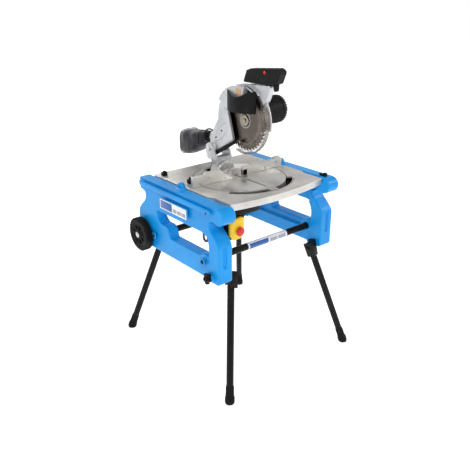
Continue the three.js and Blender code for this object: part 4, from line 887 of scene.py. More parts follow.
def foot_profile(length):
    r, low = TUBE_R + 5.5, -length
    return [(0, low - 6), (r * 0.5, low - 8), (r * 0.8, low - 5), (r * 0.96, low + 2), (r, low + 8),
            (r, low + 13),
            (r - 1.2, low + 14), (r - 1.2, low + 16), (r, low + 17), (r, low + 24), (r - 2, low + 29),
            (r - 3, low + 34), (r - 2.4, low + 36), (r - 2.4, low + 40), (r - 3.1, low + 42),
            (r - 3.1, low + 68),
            (r - 4, low + 71.5), (r - 5.1, low + 72), (r - 5.1, low + 26), (0, low + 26)]


def lobed_knob(radius, height, place, lobes=5, bore=0.0):
    ring = []
    for k in range(lobes * 16):
        angle = 2 * math.pi * k / (lobes * 16)
        wave = math.cos(lobes * angle)
        ring.append(Vector((math.cos(angle), math.sin(angle))) * radius * (0.875 + 0.125 * wave))
    holes = [arc((0, 0), bore, 0, 360, 24)[:-1]] if bore else []
    body = plate("Z", [ring, *holes], (0, height * 0.76), height * 0.16, 3)
    crown = [(bore, height * 0.7), (radius * 0.52, height * 0.7), (radius * 0.5, height * 0.93),
             (radius * 0.44, height),
             (bore, height), (bore, height * 0.7)] if bore else \
            [(0, height * 0.7), (radius * 0.52, height * 0.7), (radius * 0.5, height * 0.93),
             (radius * 0.44, height),
             (0, height)]
    body = joined(body, lathe("Z", (0, 0), crown, 40))
    body.transform(Matrix.Scale(MM, 4) @ place @ Matrix.Scale(1 / MM, 4))
    return body


def in_frame(mesh, place):
    mesh.transform(Matrix.Scale(MM, 4) @ place @ Matrix.Scale(1 / MM, 4))
    return mesh


KNOB_R, KNOB_H, BOSS_REACH = 24, 21, 102
floor_box = plate("Z", [[(-600, -600), (600, -600), (600, 600), (-600, 600)]], (-80, 0), 0.5, 0)
for which in ("front", "rear"):
    place, length = leg_place(which)
    tube = joined(lathe("Z", (0, 0), leg_profile(length), 56),
                  cylinder("X", (0, 0), TUBE_R + 1, (-TUBE_R, TUBE_R), 2))
    foot = lathe("Z", (0, 0), foot_profile(length), 56)
    turn = Matrix.Rotation(math.pi / 2 if which == "front" else -math.pi / 2, 4, "Y")
    stand = BOSS_REACH + 0.3 if which == "front" else TUBE_R + 1.5 + 4 + 0.3 + 1
    knob_place = place @ turn @ Matrix.Translation((0, 0, stand))
    leg_mesh, foot_mesh = in_frame(tube, place), carved(in_frame(foot, place), floor_box)
    knob_mesh = lobed_knob(KNOB_R, KNOB_H, knob_place, bore=5.4)
    for side, flip in (("right", False), ("left", True)):
        key = f"{which}_{side}"
        turned = [mirrored(m) if flip else m for m in (leg_mesh, foot_mesh, knob_mesh)]
        make(f"leg_tube_{key}", BLACK_PAINT, f"leg_{key}", turned[0], [f"leg_{key}"])
        make(f"leg_foot_{key}", RUBBER, f"leg_{key}", turned[1], [f"foot_{key}"])
        make(f"lock_knob_{key}_moulded", BLACK_PLASTIC, f"lock_knob_{key}", turned[2],
             [f"leg_lock_knob_{key}"])
        bracket = eased(node_copy(f"leg_bracket_{key}"), 0.8, 40)
        make(f"leg_bracket_{key}_pressed", BLACK_PAINT, "stand", bracket,
             [f"leg_bracket_{key}"])
print("legs:", round(length), "mm long")


# %% [markdown]
# The table is a ribbed aluminium casting: a flat top with a round well for the turntable, a skirt round
# its edge, and a shelf in the well that the turntable rides on. Each of these is a flat ring, so each is
# one plate between two outlines. The well is wider at the front, where the pointer swings.

# %% Table outline
TABLE_TOP = 812
TABLE_HALF, TABLE_FRONT_HALF = 268, 255
TABLE_REAR, TABLE_FRONT, TABLE_BOW = 238, -275, 28
TURN_CENTRE_XY = (0, -30)
TURN_R, POINTER_R, SWEEP = 200, 224, 52


def bow(start, control, end, steps=14):
    a, b, c = Vector(start), Vector(control), Vector(end)
    return [a * (1 - t) ** 2 + b * 2 * t * (1 - t) + c * t * t for t in (k / steps for k in range(steps + 1))]


def table_outline(inset):
    half, front, corner = TABLE_HALF - inset, TABLE_FRONT_HALF - inset, TABLE_FRONT + inset
    rear = TABLE_REAR - inset
    back = rounded([(half, -150, 3), (half, rear, 10), (-half, rear, 10), (-half, -150, 3),
                    (-front, -166, 3)], 5)
    return back + bow((-front, corner), (0, corner - 2 * TABLE_BOW),
                      (front, corner)) + [Vector((front, -166))]


def ring(radius, start=0, stop=360, steps=96):
    points = arc(TURN_CENTRE_XY, radius, start, stop, steps)
    return points[:-1] if stop - start == 360 else points


# %% Table casting
well = arc(TURN_CENTRE_XY, TURN_R + 5, 270 + SWEEP, 270 + 360 - SWEEP, 72)
well += arc(TURN_CENTRE_XY, POINTER_R + 5, 270 - SWEEP, 270 + SWEEP, 36)
skirt_low = TABLE_TOP - 29
table_parts = [
    plate("Z", [table_outline(0), well], (TABLE_TOP - 9, TABLE_TOP), 1.3, 3),
    plate("Z", [table_outline(0.6), table_outline(6)], (skirt_low, TABLE_TOP - 4), 1.0),
    plate("Z", [ring(238), ring(185)], (skirt_low, skirt_low + 6), 0.8),
    plate("Z", [ring(238), ring(232)], (skirt_low, TABLE_TOP - 5), 0.8),
]
for side in (-1, 1):
    a, b = sorted((side * (TABLE_HALF - 26), side * (TABLE_HALF - 1.5)))
    table_parts.append(plate("X",
                             [rounded([(-6, skirt_low, 3), (26, skirt_low, 3), (26, 806, 1), (-6, 806, 1)]),
                                   arc((10, 798), 7.4, 0, 360, 32)[:-1]], (a, b), 0.8))
for x, y0, y1 in ((-150, 190, 233), (0, 212, 233), (150, 190, 233), (-228, -262, -150), (228, -262, -150)):
    rib = rounded([(x - 2.5, y0), (x + 2.5, y0), (x + 2.5, y1), (x - 2.5, y1)])
    table_parts.append(plate("Z", [rib], (skirt_low + 4, TABLE_TOP - 5), 0.5))
make("table_casting_finished", TABLE_CAST, "table", table_parts, ["table_casting"])
make("table_well_shadow", SHADE_AND_MARK_BLACK, "table",
     plate("Z", [ring(230), ring(201)], (skirt_low + 6.1, skirt_low + 7), 0.2))
marks = [ring_of_blocks("Z", TURN_CENTRE_XY, TABLE_TOP + 0.05, count, radius, size, start, sweep)
         for count, radius, size, start, sweep in (
             (19, POINTER_R + 12, (9, 0.9, 0.3), 225, 95), (91, POINTER_R + 9, (4, 0.5, 0.3), 225, 91))]
make("mitre_scale_marks", SHADE_AND_MARK_BLACK, "table", joined(*marks))


# %% [markdown]
# The turntable is faced on a lathe, with a channel down its middle for the kerf insert and a tab at the
# front that carries the pointer. Its top is made in two layers, so that the channel has a step for the
# insert to lie on and a narrower slot under it for the blade.

# %% Turntable
KERF = (-214, 40)


def turn_outline(radius, tab):
    notch, rear_y = 57, 74
    start = math.degrees(math.asin(notch / radius))
    outline = arc(TURN_CENTRE_XY, radius, 90 + start, 270 - math.degrees(math.asin(17 / radius)), 48)
    if tab:
        outline += rounded([(-17, -30 - radius + 4), (-17, -30 - POINTER_R, 3), (17, -30 - POINTER_R, 3),
                            (17, -30 - radius + 4)])
    outline += arc(TURN_CENTRE_XY, radius, 270 + math.degrees(math.asin(17 / radius)), 450 - start, 48)
    return outline + [Vector((notch, rear_y)), Vector((-notch, rear_y))]


def oblong(x0, x1, y0, y1, radius=1.0):
    return rounded([(x0, y0, radius), (x1, y0, radius), (x1, y1, radius), (x0, y1, radius)])


TROUGH = oblong(-8, 16, KERF[0] + 14, KERF[1] - 14, 6)
turn_parts = [
    plate("Z", [turn_outline(TURN_R, True), oblong(-14.3, 14.3, KERF[0] - 0.3, KERF[1] + 0.3)],
          (TABLE_TOP - 3.3, TABLE_TOP), 0.5),
    plate("Z", [turn_outline(TURN_R - 0.2, True), TROUGH], (TABLE_TOP - 12, TABLE_TOP - 3), 0.4),
    plate("Z", [arc(TURN_CENTRE_XY, TURN_R, 107, 433, 90) + arc(TURN_CENTRE_XY, 177, 433, 107, 90)],
          (TABLE_TOP - 22.7, TABLE_TOP - 11), 0.6),
]
ear = arc((TABLE_TOP, 0), 48, -90, 90, 40)
ear = ear + [Vector((TABLE_TOP - 22, 48)), Vector((TABLE_TOP - 22, -48))]
turn_parts.append(plate("Y", [ear, arc((TABLE_TOP, 0), 8.4, 0, 360, 32)[:-1]], (60, 76), 1.2))
make("turntable_faced", TURNED, "turntable", turn_parts, ["turntable"])
slot = plate("Z", [oblong(-3.5, 6, KERF[0] + 16, KERF[1] - 18, 3)], (800, 820), 0)
insert = carved(plate("Z", [oblong(-14, 14, *KERF)], (809, 811.8), 0.3), slot)
make("kerf_insert_stamped", TABLE_CAST, "turntable", insert, ["kerf_insert"])
# The trough's walls are lined in near-black: painted shade in the slot under the insert.
trough_shade_outline = oblong(-6.4, 14.4, KERF[0] + 15.6, KERF[1] - 15.6, 5)
make("kerf_trough_painted_shade", SHADE_AND_MARK_BLACK, "turntable",
     plate("Z", [TROUGH, trough_shade_outline], (TABLE_TOP - 14, TABLE_TOP - 3.3), 0.2))
pointer = plate("Z", [rounded([(-5, -240), (5, -240), (0.6, -253), (-0.6, -253)])],
                (TABLE_TOP + 0.05, TABLE_TOP + 1), 0.2)
make("mitre_pointer", RED, "turntable", pointer)


# %% [markdown]
# The fence stands across the turntable. Its two wings are joined by a bridge that bows back round the
# blade. Wings and bridge are plates again, cut from a side view and from a plan, with a rolled edge that
# catches the light along the top.

# %% Fence
FOOT = TABLE_TOP + 0.3
FENCE_Y = (-30, -17)
left_wing = rounded([(FOOT, -252, 3), (FOOT, -38, 1), (FOOT + 4, -42, 2), (FOOT + 53, -112, 8),
                     (FOOT + 53, -184, 4),
                     (FOOT + 45, -190, 3), (FOOT + 45, -252, 6)])
right_wing = rounded([(FOOT, 18, 1), (FOOT, 252, 3), (FOOT + 40, 252, 4), (FOOT + 40, 242, 2),
                      (FOOT + 50, 238, 3),
                      (FOOT + 50, 204, 3), (FOOT + 40, 200, 2), (FOOT + 40, 24, 5), (FOOT + 34, 18, 2)])
fence_parts = [eased(plate("Y", [wing], FENCE_Y, 0), 1.3, 40, 3) for wing in (left_wing, right_wing)]
fence_parts.append(plate("Z", [arc(TURN_CENTRE_XY, 42, 0, 152, 32) + arc(TURN_CENTRE_XY, 36, 152, 0, 32)],
                         (FOOT, FOOT + 27), 1.0, 3))
fence_parts.append(plate("Z", [arc(TURN_CENTRE_XY, 42, 150, 180, 8) + arc(TURN_CENTRE_XY, 36, 180, 150, 8)],
                         (FOOT, FOOT + 14), 1.0, 3))
fence_parts.append(plate("Z", [oblong(18, 42, *FENCE_Y)], (FOOT, FOOT + 27), 1.0))
for side in (-1, 1):
    a, b = sorted((side * 224, side * 252))
    fence_parts.append(plate("Z", [oblong(a, b, -19, 20, 5)], (FOOT, FOOT + 9), 1.0))
for x in (-210, -160, -110, 60, 120, 180):
    rib = rounded([(-17.5, FOOT), (-6, FOOT), (-17.5, FOOT + 34)])
    fence_parts.append(plate("X", [rib], (x - 2, x + 2), 0))
make("fence_casting", TABLE_CAST, "table", fence_parts, ["fence"])


# %% Knobs on the table, and the latch
def standing(x, y, z):
    return Matrix.Translation((x, y, z))


CLAMP_AT, FENCE_KNOB_AT = (-240, 194, 812.3), (-238, 6, 821.6)
make("mitre_clamp_knob_moulded", BLACK_PLASTIC, "mitre_clamp_knob",
     lobed_knob(15, 20, standing(*CLAMP_AT)), ["mitre_clamp_knob"])
make("fence_knob_moulded", BLACK_PLASTIC, "fence_knob",
     lobed_knob(14, 26, standing(*FENCE_KNOB_AT)), ["fence_knob"])
latch_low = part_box("table_latch")[0] / MM
latch = [plate("Z", [oblong(282, 300, -271, -232, 7)], (latch_low.z, latch_low.z + 9), 1.6, 3),
         lathe("Z", (291, -262),
               [(0, latch_low.z), (9, latch_low.z), (9, latch_low.z + 12), (7, latch_low.z + 15),
                                  (0, latch_low.z + 15)], 40)]
make("table_latch_moulded", BLACK_PLASTIC, "table_latch", latch, ["table_latch"])
pin = lathe("X", (10, 798), [(0, 243), (6, 243), (7, 244), (7, 298), (6, 299), (0, 299)], 32)
for side, mesh in (("right", pin), ("left", mirrored(pin))):
    make(f"flip_pin_{side}_turned", STEEL, "stand", mesh, [f"flip_pin_{side}"])
print("table: two knobs and a latch")


# %% [markdown]
# The head and the bracket that it tilts on are castings with soft corners, so both are moulded skins
# grown from their CAD solids, at a finer grain than the stand. Ribs and bosses are laid on first, so
# the skin flows over them.

# %% Bevel support and its lever
support = moulded(node_copy("bevel_support"), 1.7, 3, 0.6)
make("bevel_support_casting", CAST, "bevel_support", support, ["bevel_support"], 45)
CHOP = (125, 915)
pivot = [lathe("X", CHOP, [(0, -49), (6, -49), (7, -48), (7, 48), (6, 49), (0, 49)], 40)]
for side in (-1, 1):
    hexagon = arc(CHOP, 11, 0, 360, 6)[:-1]
    pivot.append(plate("X", [hexagon], (side * 46.3, side * 53), 1.0))
make("chop_pivot_bolt", STEEL, "bevel_support", pivot, ["chop_pivot_pin"])
lever_low, lever_high = (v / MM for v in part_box("bevel_lever"))
lever = [plate("Y", [rounded([(812, -9), (812, 9), (882, 6, 5), (882, -6, 5)])],
               (lever_low.y, lever_high.y), 1.8, 3),
         plate("Y", [arc((812, 0), 15, 0, 360, 40)[:-1], arc((812, 0), 8.5, 0, 360, 24)[:-1]],
               (lever_low.y, lever_high.y), 1.2)]
make("bevel_lever_moulded", BLACK_PLASTIC, "bevel_lever", lever, ["bevel_lever"])

# %% Head casting
HUB = (-64, 1063)
BLADE_R = 127


def round_hub(points):
    return [(HUB[0] + p[0], HUB[1] + p[1], *p[2:]) for p in points]


def head_extras():
    raised = [arc(HUB, 147.5, 44, 124, 24) + arc(HUB, 139, 124, 44, 24)]
    parts = [plate("X", raised, (-28.5, -22), 1.0)]
    web = rounded(round_hub([(96, -20, 6), (150, -60, 6), (172, -118, 6), (120, -96, 6), (84, -52, 6)]))
    parts.append(plate("X", [web], (-30, -24), 1.5))
    motor_axis = (-50, 1063 + math.sqrt(26 ** 2 - 14 ** 2))
    for k in range(4):
        angle = math.radians(45 + 90 * k)
        spot = (motor_axis[0] + 39 * math.cos(angle), motor_axis[1] + 39 * math.sin(angle))
        parts.append(cylinder("X", spot, 6, (20, 61), 1.0, 20))
    return parts


casting = moulded(joined(node_copy("head_casting"), *head_extras()), 1.8, 3, 0.55)
make("head_casting_skin", CAST, "head", casting, ["head_casting"], 45)
print("head casting:", len(casting.polygons), "faces")


# %% [markdown]
# The blade is a 254 mm disc with forty carbide tips. The disc's outline follows a rule, so it is worked
# out in a loop: up the back of each tooth, across the tip and down into a rounded gullet. Four
# expansion slots are cut in from the rim, each ending in a small hole.

# %% Saw blade
TEETH = 40


def blade_outline():
    step = 2 * math.pi / TEETH
    shape = ((0.02, 0.0), (0.30, 2.2), (0.55, 6.0), (0.70, 9.5), (0.84, 10.0), (0.93, 7.0), (0.95, 2.0))
    return [Vector((HUB[0] + (BLADE_R - 0.5 - drop) * math.cos((k + share) * step),
                    HUB[1] + (BLADE_R - 0.5 - drop) * math.sin((k + share) * step)))
            for k in range(TEETH) for share, drop in shape]


def slot_hole(angle):
    spot = Vector(HUB) + Vector((math.cos(angle), math.sin(angle))) * 104
    side = Vector((-math.sin(angle), math.cos(angle)))
    out = Vector((math.cos(angle), math.sin(angle)))
    bulb = [spot + (side * math.cos(t) + out * math.sin(t)) * 3 for t in
            [math.radians(120 + 300 * k / 12) for k in range(13)]]
    return [spot + out * 12 + side * 0.6, *bulb[::-1], spot + out * 12 - side * 0.6][::-1]


slots = [slot_hole(math.radians(20 + 90 * k)) for k in range(4)]
holes = [arc(HUB, 8.3, 0, 360, 32)[:-1], *slots]
disc = plate("X", [blade_outline(), *holes], (-1.1, 1.1), 0.12, 1)
make("blade_disc", BLADE_STEEL, "spindle", disc, ["saw_blade"], 25)
GROOVE_PITCH, GROOVE_DEPTH = 1.5, 0.12


def ground_face(side):
    count = round((99 - 34) / (GROOVE_PITCH / 2))
    waves = [(34 + k * GROOVE_PITCH / 2, side * (1.22 + (k % 2) * GROOVE_DEPTH)) for k in range(count + 1)]
    return lathe("X", HUB, [(34, side * 1.0), *waves, (waves[-1][0], side * 1.0), (34, side * 1.0)], 128)


make("blade_ground_faces", BLADE_STEEL, "spindle", [ground_face(1), ground_face(-1)], (), 80)
tips = ring_of_blocks("X", HUB, 0, TEETH, BLADE_R - 2.6, (5.0, 1.8, 2.8), -1.0, 360, 18)
make("blade_tips", CARBIDE, "spindle", tips)
rings = [lathe("X", HUB, [(30, -1.25), (31, -1.3), (32, -1.25), (32, -1.0), (30, -1.0), (30, -1.25)], 72)]
make("blade_hub_ring", STEEL, "spindle", rings)
flange = [lathe("X", HUB,
                [(8.4, -1.7), (24, -1.7), (24, -3.6), (22, -5.2), (17, -5.7), (8.4, -5.7), (8.4, -1.7)], 64),
          plate("X", [arc(HUB, 10, 0, 360, 6)[:-1]], (-9.7, -4.8), 0.9),
          lathe("X", HUB, [(0, -9.9), (6, -9.9), (8.2, -9.4), (8.2, -2.0), (0, -2.0)], 40)]
BRASSY = plain_metal("brassy_flange", (0.36, 0.32, 0.25), 0.24)
make("arbor_flange_turned", BRASSY, "spindle", flange, ["arbor_flange"])
for node_name, metal in (("spindle", STEEL), ("armature", COPPER)):
    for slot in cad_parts[node_name].material_slots:
        slot.link = "OBJECT"
        slot.material = metal


# %% [markdown]
# The lower guard is a clear moulding that wraps the front and underside of the blade: two walls, a rim
# between them and stiffening ribs round the rim. Clear plastic is modelled with thin walls and a low
# Alpha, and the rim and ribs get a denser finish, because looking along plastic shows more of it.

# %% Lower guard
GUARD_R, GUARD_FROM, GUARD_TO = 140, 150, 290


def guard_band(outer, inner, start=GUARD_FROM, stop=GUARD_TO, steps=48):
    return [arc(HUB, outer, start, stop, steps) + arc(HUB, inner, stop, start, steps)]


guard_walls = [plate("X", guard_band(GUARD_R - 0.4, 30), (5.3, 7.3), 0.5),
               plate("X", guard_band(GUARD_R - 0.4, 92), (-11.9, -9.9), 0.5)]
make("lower_guard_walls", CLEAR, "lower_guard", guard_walls, ["lower_guard"])
guard_rim = [plate("X", guard_band(GUARD_R, GUARD_R - 3), (-12, 7.4), 0.8),
             plate("X", guard_band(95, 92), (-13, -9.9), 0.6),
             plate("X", [arc(HUB, 36, 0, 360, 48)[:-1], arc(HUB, 24.5, 0, 360, 48)[:-1]], (5.2, 7.6), 0.4)]
guard_ribs = ring_of_blocks("X", HUB, -2.3, 29, GUARD_R - 1.4, (3.4, 1.6, 19), GUARD_FROM + 2, 138)
make("lower_guard_rim", CLEAR_EDGE, "lower_guard", [*guard_rim, guard_ribs])
link = eased(node_copy("guard_link"), 0.9, 35)
make("guard_link_pressed", BLACK_PLASTIC, "guard_link", link, ["guard_link"])
hood = [arc(HUB, 147, 30, 104, 40) + [Vector(HUB) + Vector((-30, 80)), Vector(HUB) + Vector((66, 44))]]
hood_mesh = moulded(plate("X", hood, (-44, -15), 6, 4), 2.2, 3, 0.5)
make("guard_hood_bulge", CAST, "head", hood_mesh, (), 60)
patch = plate("X", [rounded(round_hub([(8, 136, 3), (-24, 134, 3), (-22, 108, 3), (10, 110, 3)]))],
              (-45.2, -43.6), 0.3)
make("hood_label", LABEL_TAN, "head", patch)
shield = moulded(node_copy("blade_shield"), 1.3, 3, 0.6)
make("blade_shield_moulded", BLACK_PLASTIC, "head", shield, ["blade_shield"], 45)


# %% [markdown]
# The motor is a black barrel with a domed end. Cooling fins run along it, a ring of near-black blocks round
# its end cap stands for the vents as painted shade, and a brush holder stands on each side.

# %% Motor
MOTOR = (-50, 1063 + math.sqrt(26 ** 2 - 14 ** 2))
barrel = [(12, 62), (52, 62), (55, 63), (58, 67), (58, 180), (60, 181), (60, 185.7), (55, 185.7), (55, 70),
          (12, 70),
          (12, 62)]
fins = ring_of_blocks("X", MOTOR, 124, 36, 58.2, (3.2, 3.4, 104))
make("motor_barrel", BLACK_PLASTIC, "head", [lathe("X", MOTOR, barrel, 72), fins],
     ["motor_housing"])
dome = [(0, 219), (22, 219), (25, 220.5), (33, 219.5), (45, 211), (55, 201), (59.5, 194), (60, 186),
        (55, 186),
        (53, 193), (0, 193)]
brush_caps = [cylinder("X", (MOTOR[0] + s * 32, MOTOR[1]), 8, (204, 219), 1.5, 32) for s in (-1, 1)]
make("motor_dome", BLACK_PLASTIC, "head", [lathe("X", MOTOR, dome, 72), *brush_caps],
     ["motor_cap"])
# The vent openings are near-black blocks: painted shade where the openings are dark.
vent_shade_blocks = [ring_of_blocks("X", MOTOR, 197, 30, 56.4, (4, 3.2, 9)),
         ring_of_blocks("X", MOTOR, 218.6, 16, 13, (9, 2.2, 2))]
make("motor_vent_painted_shade", SHADE_AND_MARK_BLACK, "head", joined(*vent_shade_blocks))


# %% [markdown]
# The handle is a solid D-shaped grip in two halves with a fine seam down the middle. One rounded body
# is made and then cut in two, so that the halves match. The trigger hangs under its front end.

# %% Handle, trigger and lock-off button
CROWN = 148


def round_crown(points):
    return round_hub([(p[0], p[1] + CROWN, *p[2:]) for p in points])


grip_outline = rounded(round_crown([(-4, 10, 4), (-26, 62, 7), (-34, 60, 4), (-44, 66, 8), (-196, 80, 12),
                                    (-219, 70, 11), (-198, 22, 12), (-164, 12, 4)]), 6)
body = moulded(plate("X", [grip_outline], (-18.5, 18.5), 0), 2.0, 12, 0.6)
slot = plate("X", [rounded(round_crown([(-160, 40), (-160, 0), (-196, 0), (-196, 34)]))], (-7, 7), 0.3, 0)
body = carved(body, slot)
for side, span in (("right", (0.2, 30)), ("left", (-30, -0.2))):
    half_space = plate("X", [[(-400, 1100), (-400, 1400), (0, 1400), (0, 1100)]], span, 0.01, 0)
    half = carved(body, half_space, "INTERSECT")
    make(f"grip_{side}_half", BLACK_PLASTIC, "head", half, [f"handle_shell_{side}"])
trigger = plate("X", [rounded(round_crown([(-162, 34, 4), (-163, 17), (-172, -11, 5), (-188, -7, 5),
                                           (-191.5, 28, 6)]))],
                (-6, 6), 2.0, 3)
make("trigger_moulded", BLACK_PLASTIC, "trigger", trigger, ["trigger"])
lock = lathe("X", (HUB[0] - 132, HUB[1] + CROWN + 59), [(0, -23), (4, -23), (6, -21.5), (6, -10), (0, -10)],
             36)
make("lock_off_button_moulded", RED, "lock_off_button", lock, ["lock_off_button"])
print("head: motor, handle, guard and shield")


# %% [markdown]
# The no-volt switch hangs under the table's front left corner: a black box, a yellow flap with clipped
# corners that hinges down, and a red mushroom button that sticks out through it.

# %% Switch
box_low, box_high = (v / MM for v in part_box("switch_box"))
start_low, start_high = (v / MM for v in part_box("start_button"))
START = ((start_low.x + start_high.x) / 2, (start_low.z + start_high.z) / 2)
STOP = (-209, 690)
box_shape = rounded([(box_low.z, box_low.x, 5), (box_high.z, box_low.x, 5), (box_high.z, box_high.x, 5),
                     (box_low.z, box_high.x, 5)])
start_hole = arc((START[1], START[0]), 8, 0, 360, 32)[:-1]
switch_body = [plate("Y", [box_shape], (box_low.y + 12, box_high.y), 2.5, 3),
               plate("Y", [box_shape, start_hole], (box_low.y, box_low.y + 13), 1.0)]
make("switch_box_moulded", BLACK_PLASTIC, "stand", switch_body, ["switch_box"])
cover_low, cover_high = (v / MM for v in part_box("switch_cover"))


def octagon(inset):
    x0, x1, z0, z1 = cover_low.x + inset, cover_high.x - inset, cover_low.z + inset, cover_high.z - inset
    c = 18
    return rounded([(z0 + c, x0, 3), (z1 - 7, x0, 3), (z1, x0 + 7, 3), (z1, x1 - 7, 3), (z1 - 7, x1, 3),
                    (z0 + c, x1, 3),
                    (z0, x1 - c, 3), (z0, x0 + c, 3)])


stop_bore = arc((STOP[1], STOP[0]), 7.5, 0, 360, 40)[:-1]
cover = [plate("Y", [octagon(0), stop_bore], (cover_low.y + 3, cover_low.y + 7), 1.4, 3),
         plate("Y", [octagon(0), octagon(4.5)], (cover_low.y + 4, cover_high.y), 0.8),
         plate("Y", [octagon(6), stop_bore], (cover_low.y + 1.2, cover_low.y + 5), 1.0, 3)]
collar = [(13, cover_low.y + 3), (24, cover_low.y + 3), (24, cover_low.y + 1.2), (22, cover_low.y),
          (15, cover_low.y),
          (13, cover_low.y + 1), (13, cover_low.y + 3)]
cover.append(lathe("Y", STOP, collar, 48))
make("switch_flap", YELLOW, "switch_cover", cover, ["switch_cover"])
face = cover_low.y
mushroom = [(0, face - 18), (9, face - 17.6), (15, face - 15.6), (18.4, face - 12), (19, face - 9),
            (18, face - 6.4),
            (16, face - 6), (8, face - 6), (7, face - 5), (7, face + 8), (0, face + 8)]
make("stop_mushroom", RED, "stop_button", lathe("Y", STOP, mushroom, 56), ["stop_button"])
near = start_low.y
start_cap = [(0, near), (5, near), (7, near + 1.6), (7, near + 12), (0, near + 12)]
make("start_cap", GREEN, "start_button", lathe("Y", START, start_cap, 40), ["start_button"])
make("switch_bracket_folded", BLACK_PAINT, "stand",
     eased(node_copy("switch_bracket"), 0.8, 40), ["switch_bracket"])


# %% [markdown]
# The cord hook is one bent wire with a small foot. A curve with a round bevel makes it, and its
# three bends are set by where the hook starts, how far it drops and how wide it turns.

# %% Cord hook
def wire(points, radius, closed=False, bevels=3):
    curve = bpy.data.curves.new("wire", "CURVE")
    curve.dimensions, curve.use_fill_caps = "3D", True
    curve.bevel_depth, curve.bevel_resolution = radius, bevels
    spline = curve.splines.new("POLY")
    spline.points.add(len(points) - 1)
    for slot, point in zip(spline.points, points):
        slot.co = (*point, 1)
    spline.use_cyclic_u = closed
    holder = bpy.data.objects.new("wire", curve)
    bpy.context.scene.collection.objects.link(holder)
    bpy.context.view_layer.update()
    mesh = bpy.data.meshes.new_from_object(holder.evaluated_get(bpy.context.evaluated_depsgraph_get()))
    bpy.data.objects.remove(holder)
    mesh.transform(Matrix.Scale(MM, 4))
    return tidy(mesh)


def bent_hook():
    low, high = (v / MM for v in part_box("cord_hook"))
    x, y, top, bend = (low.x + high.x) / 2, -160, high.z, 13
    drop = top - 34
    path = [(y, top - 34 * k / 5) for k in range(6)]
    path += [(y - bend + bend * math.cos(t), drop - bend * math.sin(t))
             for t in [math.radians(15 * k) for k in range(1, 13)]]
    path += [(y - 2 * bend - 1, drop + 5), (y - 2 * bend - 2, drop + 9)]
    foot = plate("Z", [oblong(x - 8, x + 8, y - 12, y + 12, 3)], (top - 4, top), 0.8)
    return joined(wire([(x, u, v) for u, v in path], 4.8, False, 5), foot)


make("cord_hook_wire", DARK_STEEL, "stand", bent_hook(), ["cord_hook"])


# %% [markdown]
# The dust bag is a sewn sack that hangs from the port at the back of the arm. It starts as a loft of
# rounded sections, slightly smaller than the finished bag, is remeshed evenly, and is then blown up a
# little by a cloth simulation, which gives it folds. Its piping and strap are added afterwards.

# %% Dust port and bag form
PORT = (0, 958)
port = [(15, 146.3), (25, 146.3), (25, 150), (24, 151.3), (20.5, 152), (19.6, 158), (21, 160), (21, 163),
        (19.4, 165),
        (19, 176.3), (15, 176.3), (15, 146.3)]
make("dust_port_moulded", BLACK_PLASTIC, "head", lathe("Y", PORT, port, 48), ["dust_port"])
BAG = ((36, 23, -23, 13), (46, 31, -34, 16), (64, 43, -54, 17), (98, 55, -80, 14), (130, 58, -98, 11),
       (160, 59, -108, 8), (186, 57, -112, 3), (203, 52, -110, -3), (212, 42, -100, -12))


def bag_ring(section, around=40, squareness=0.46, grow=0.0):
    behind, half, low, high = section
    spread = [2 * math.pi * k / around for k in range(around)]
    corners = [[math.copysign(abs(v) ** squareness, v) for v in (math.cos(t), math.sin(t))] for t in spread]
    middle, tall = PORT[1] + (low + high) / 2, (high - low) / 2
    return [Vector(((half + grow) * c, 146.3 + behind, middle + s * (tall + grow))) for c, s in corners]


def bag_loft():
    bm = bmesh.new()
    rings = [[bm.verts.new(p) for p in bag_ring(section)] for section in BAG]
    for first, second in zip(rings, rings[1:]):
        for k in range(len(first)):
            n = (k + 1) % len(first)
            bm.faces.new((first[k], first[n], second[n], second[k]))
    bm.faces.new(rings[0][::-1])
    bm.faces.new(rings[-1])
    mesh = bpy.data.meshes.new("bag")
    bm.to_mesh(mesh)
    bm.free()
    mesh.transform(Matrix.Scale(MM, 4))
    return tidy(mesh)


# %% Bag cloth simulation
def blown_up(mesh, pressure=0.9, cap_mm=6.0, frames=16):
    even = modified(mesh, ("REMESH", {"mode": "VOXEL", "voxel_size": 5 * MM}))
    bag = bpy.data.objects.new("bag_work", even)
    bpy.context.scene.collection.objects.link(bag)
    held = bag.vertex_groups.new(name="held")
    front = (146.3 + 46) * MM
    held.add([v.index for v in even.vertices if v.co.y < front], 1.0, "ADD")
    cloth = bag.modifiers.new("cloth", "CLOTH")
    cloth.settings.vertex_group_mass = "held"
    cloth.settings.use_pressure = True
    cloth.settings.uniform_pressure_force = pressure
    cloth.settings.tension_stiffness = cloth.settings.compression_stiffness = 12
    cloth.settings.bending_stiffness = 0.4
    cloth.settings.effector_weights.gravity = 0.35
    rest = [v.co.copy() for v in even.vertices]
    for number in range(1, frames + 1):
        bpy.context.scene.frame_set(number)
    done = bpy.data.meshes.new_from_object(bag.evaluated_get(bpy.context.evaluated_depsgraph_get()))
    bpy.data.objects.remove(bag)
    bpy.context.scene.frame_set(1)
    for vertex, old in zip(done.vertices, rest):
        step = vertex.co - old
        if step.length > cap_mm * MM:
            vertex.co = old + step.normalized() * cap_mm * MM
    return done


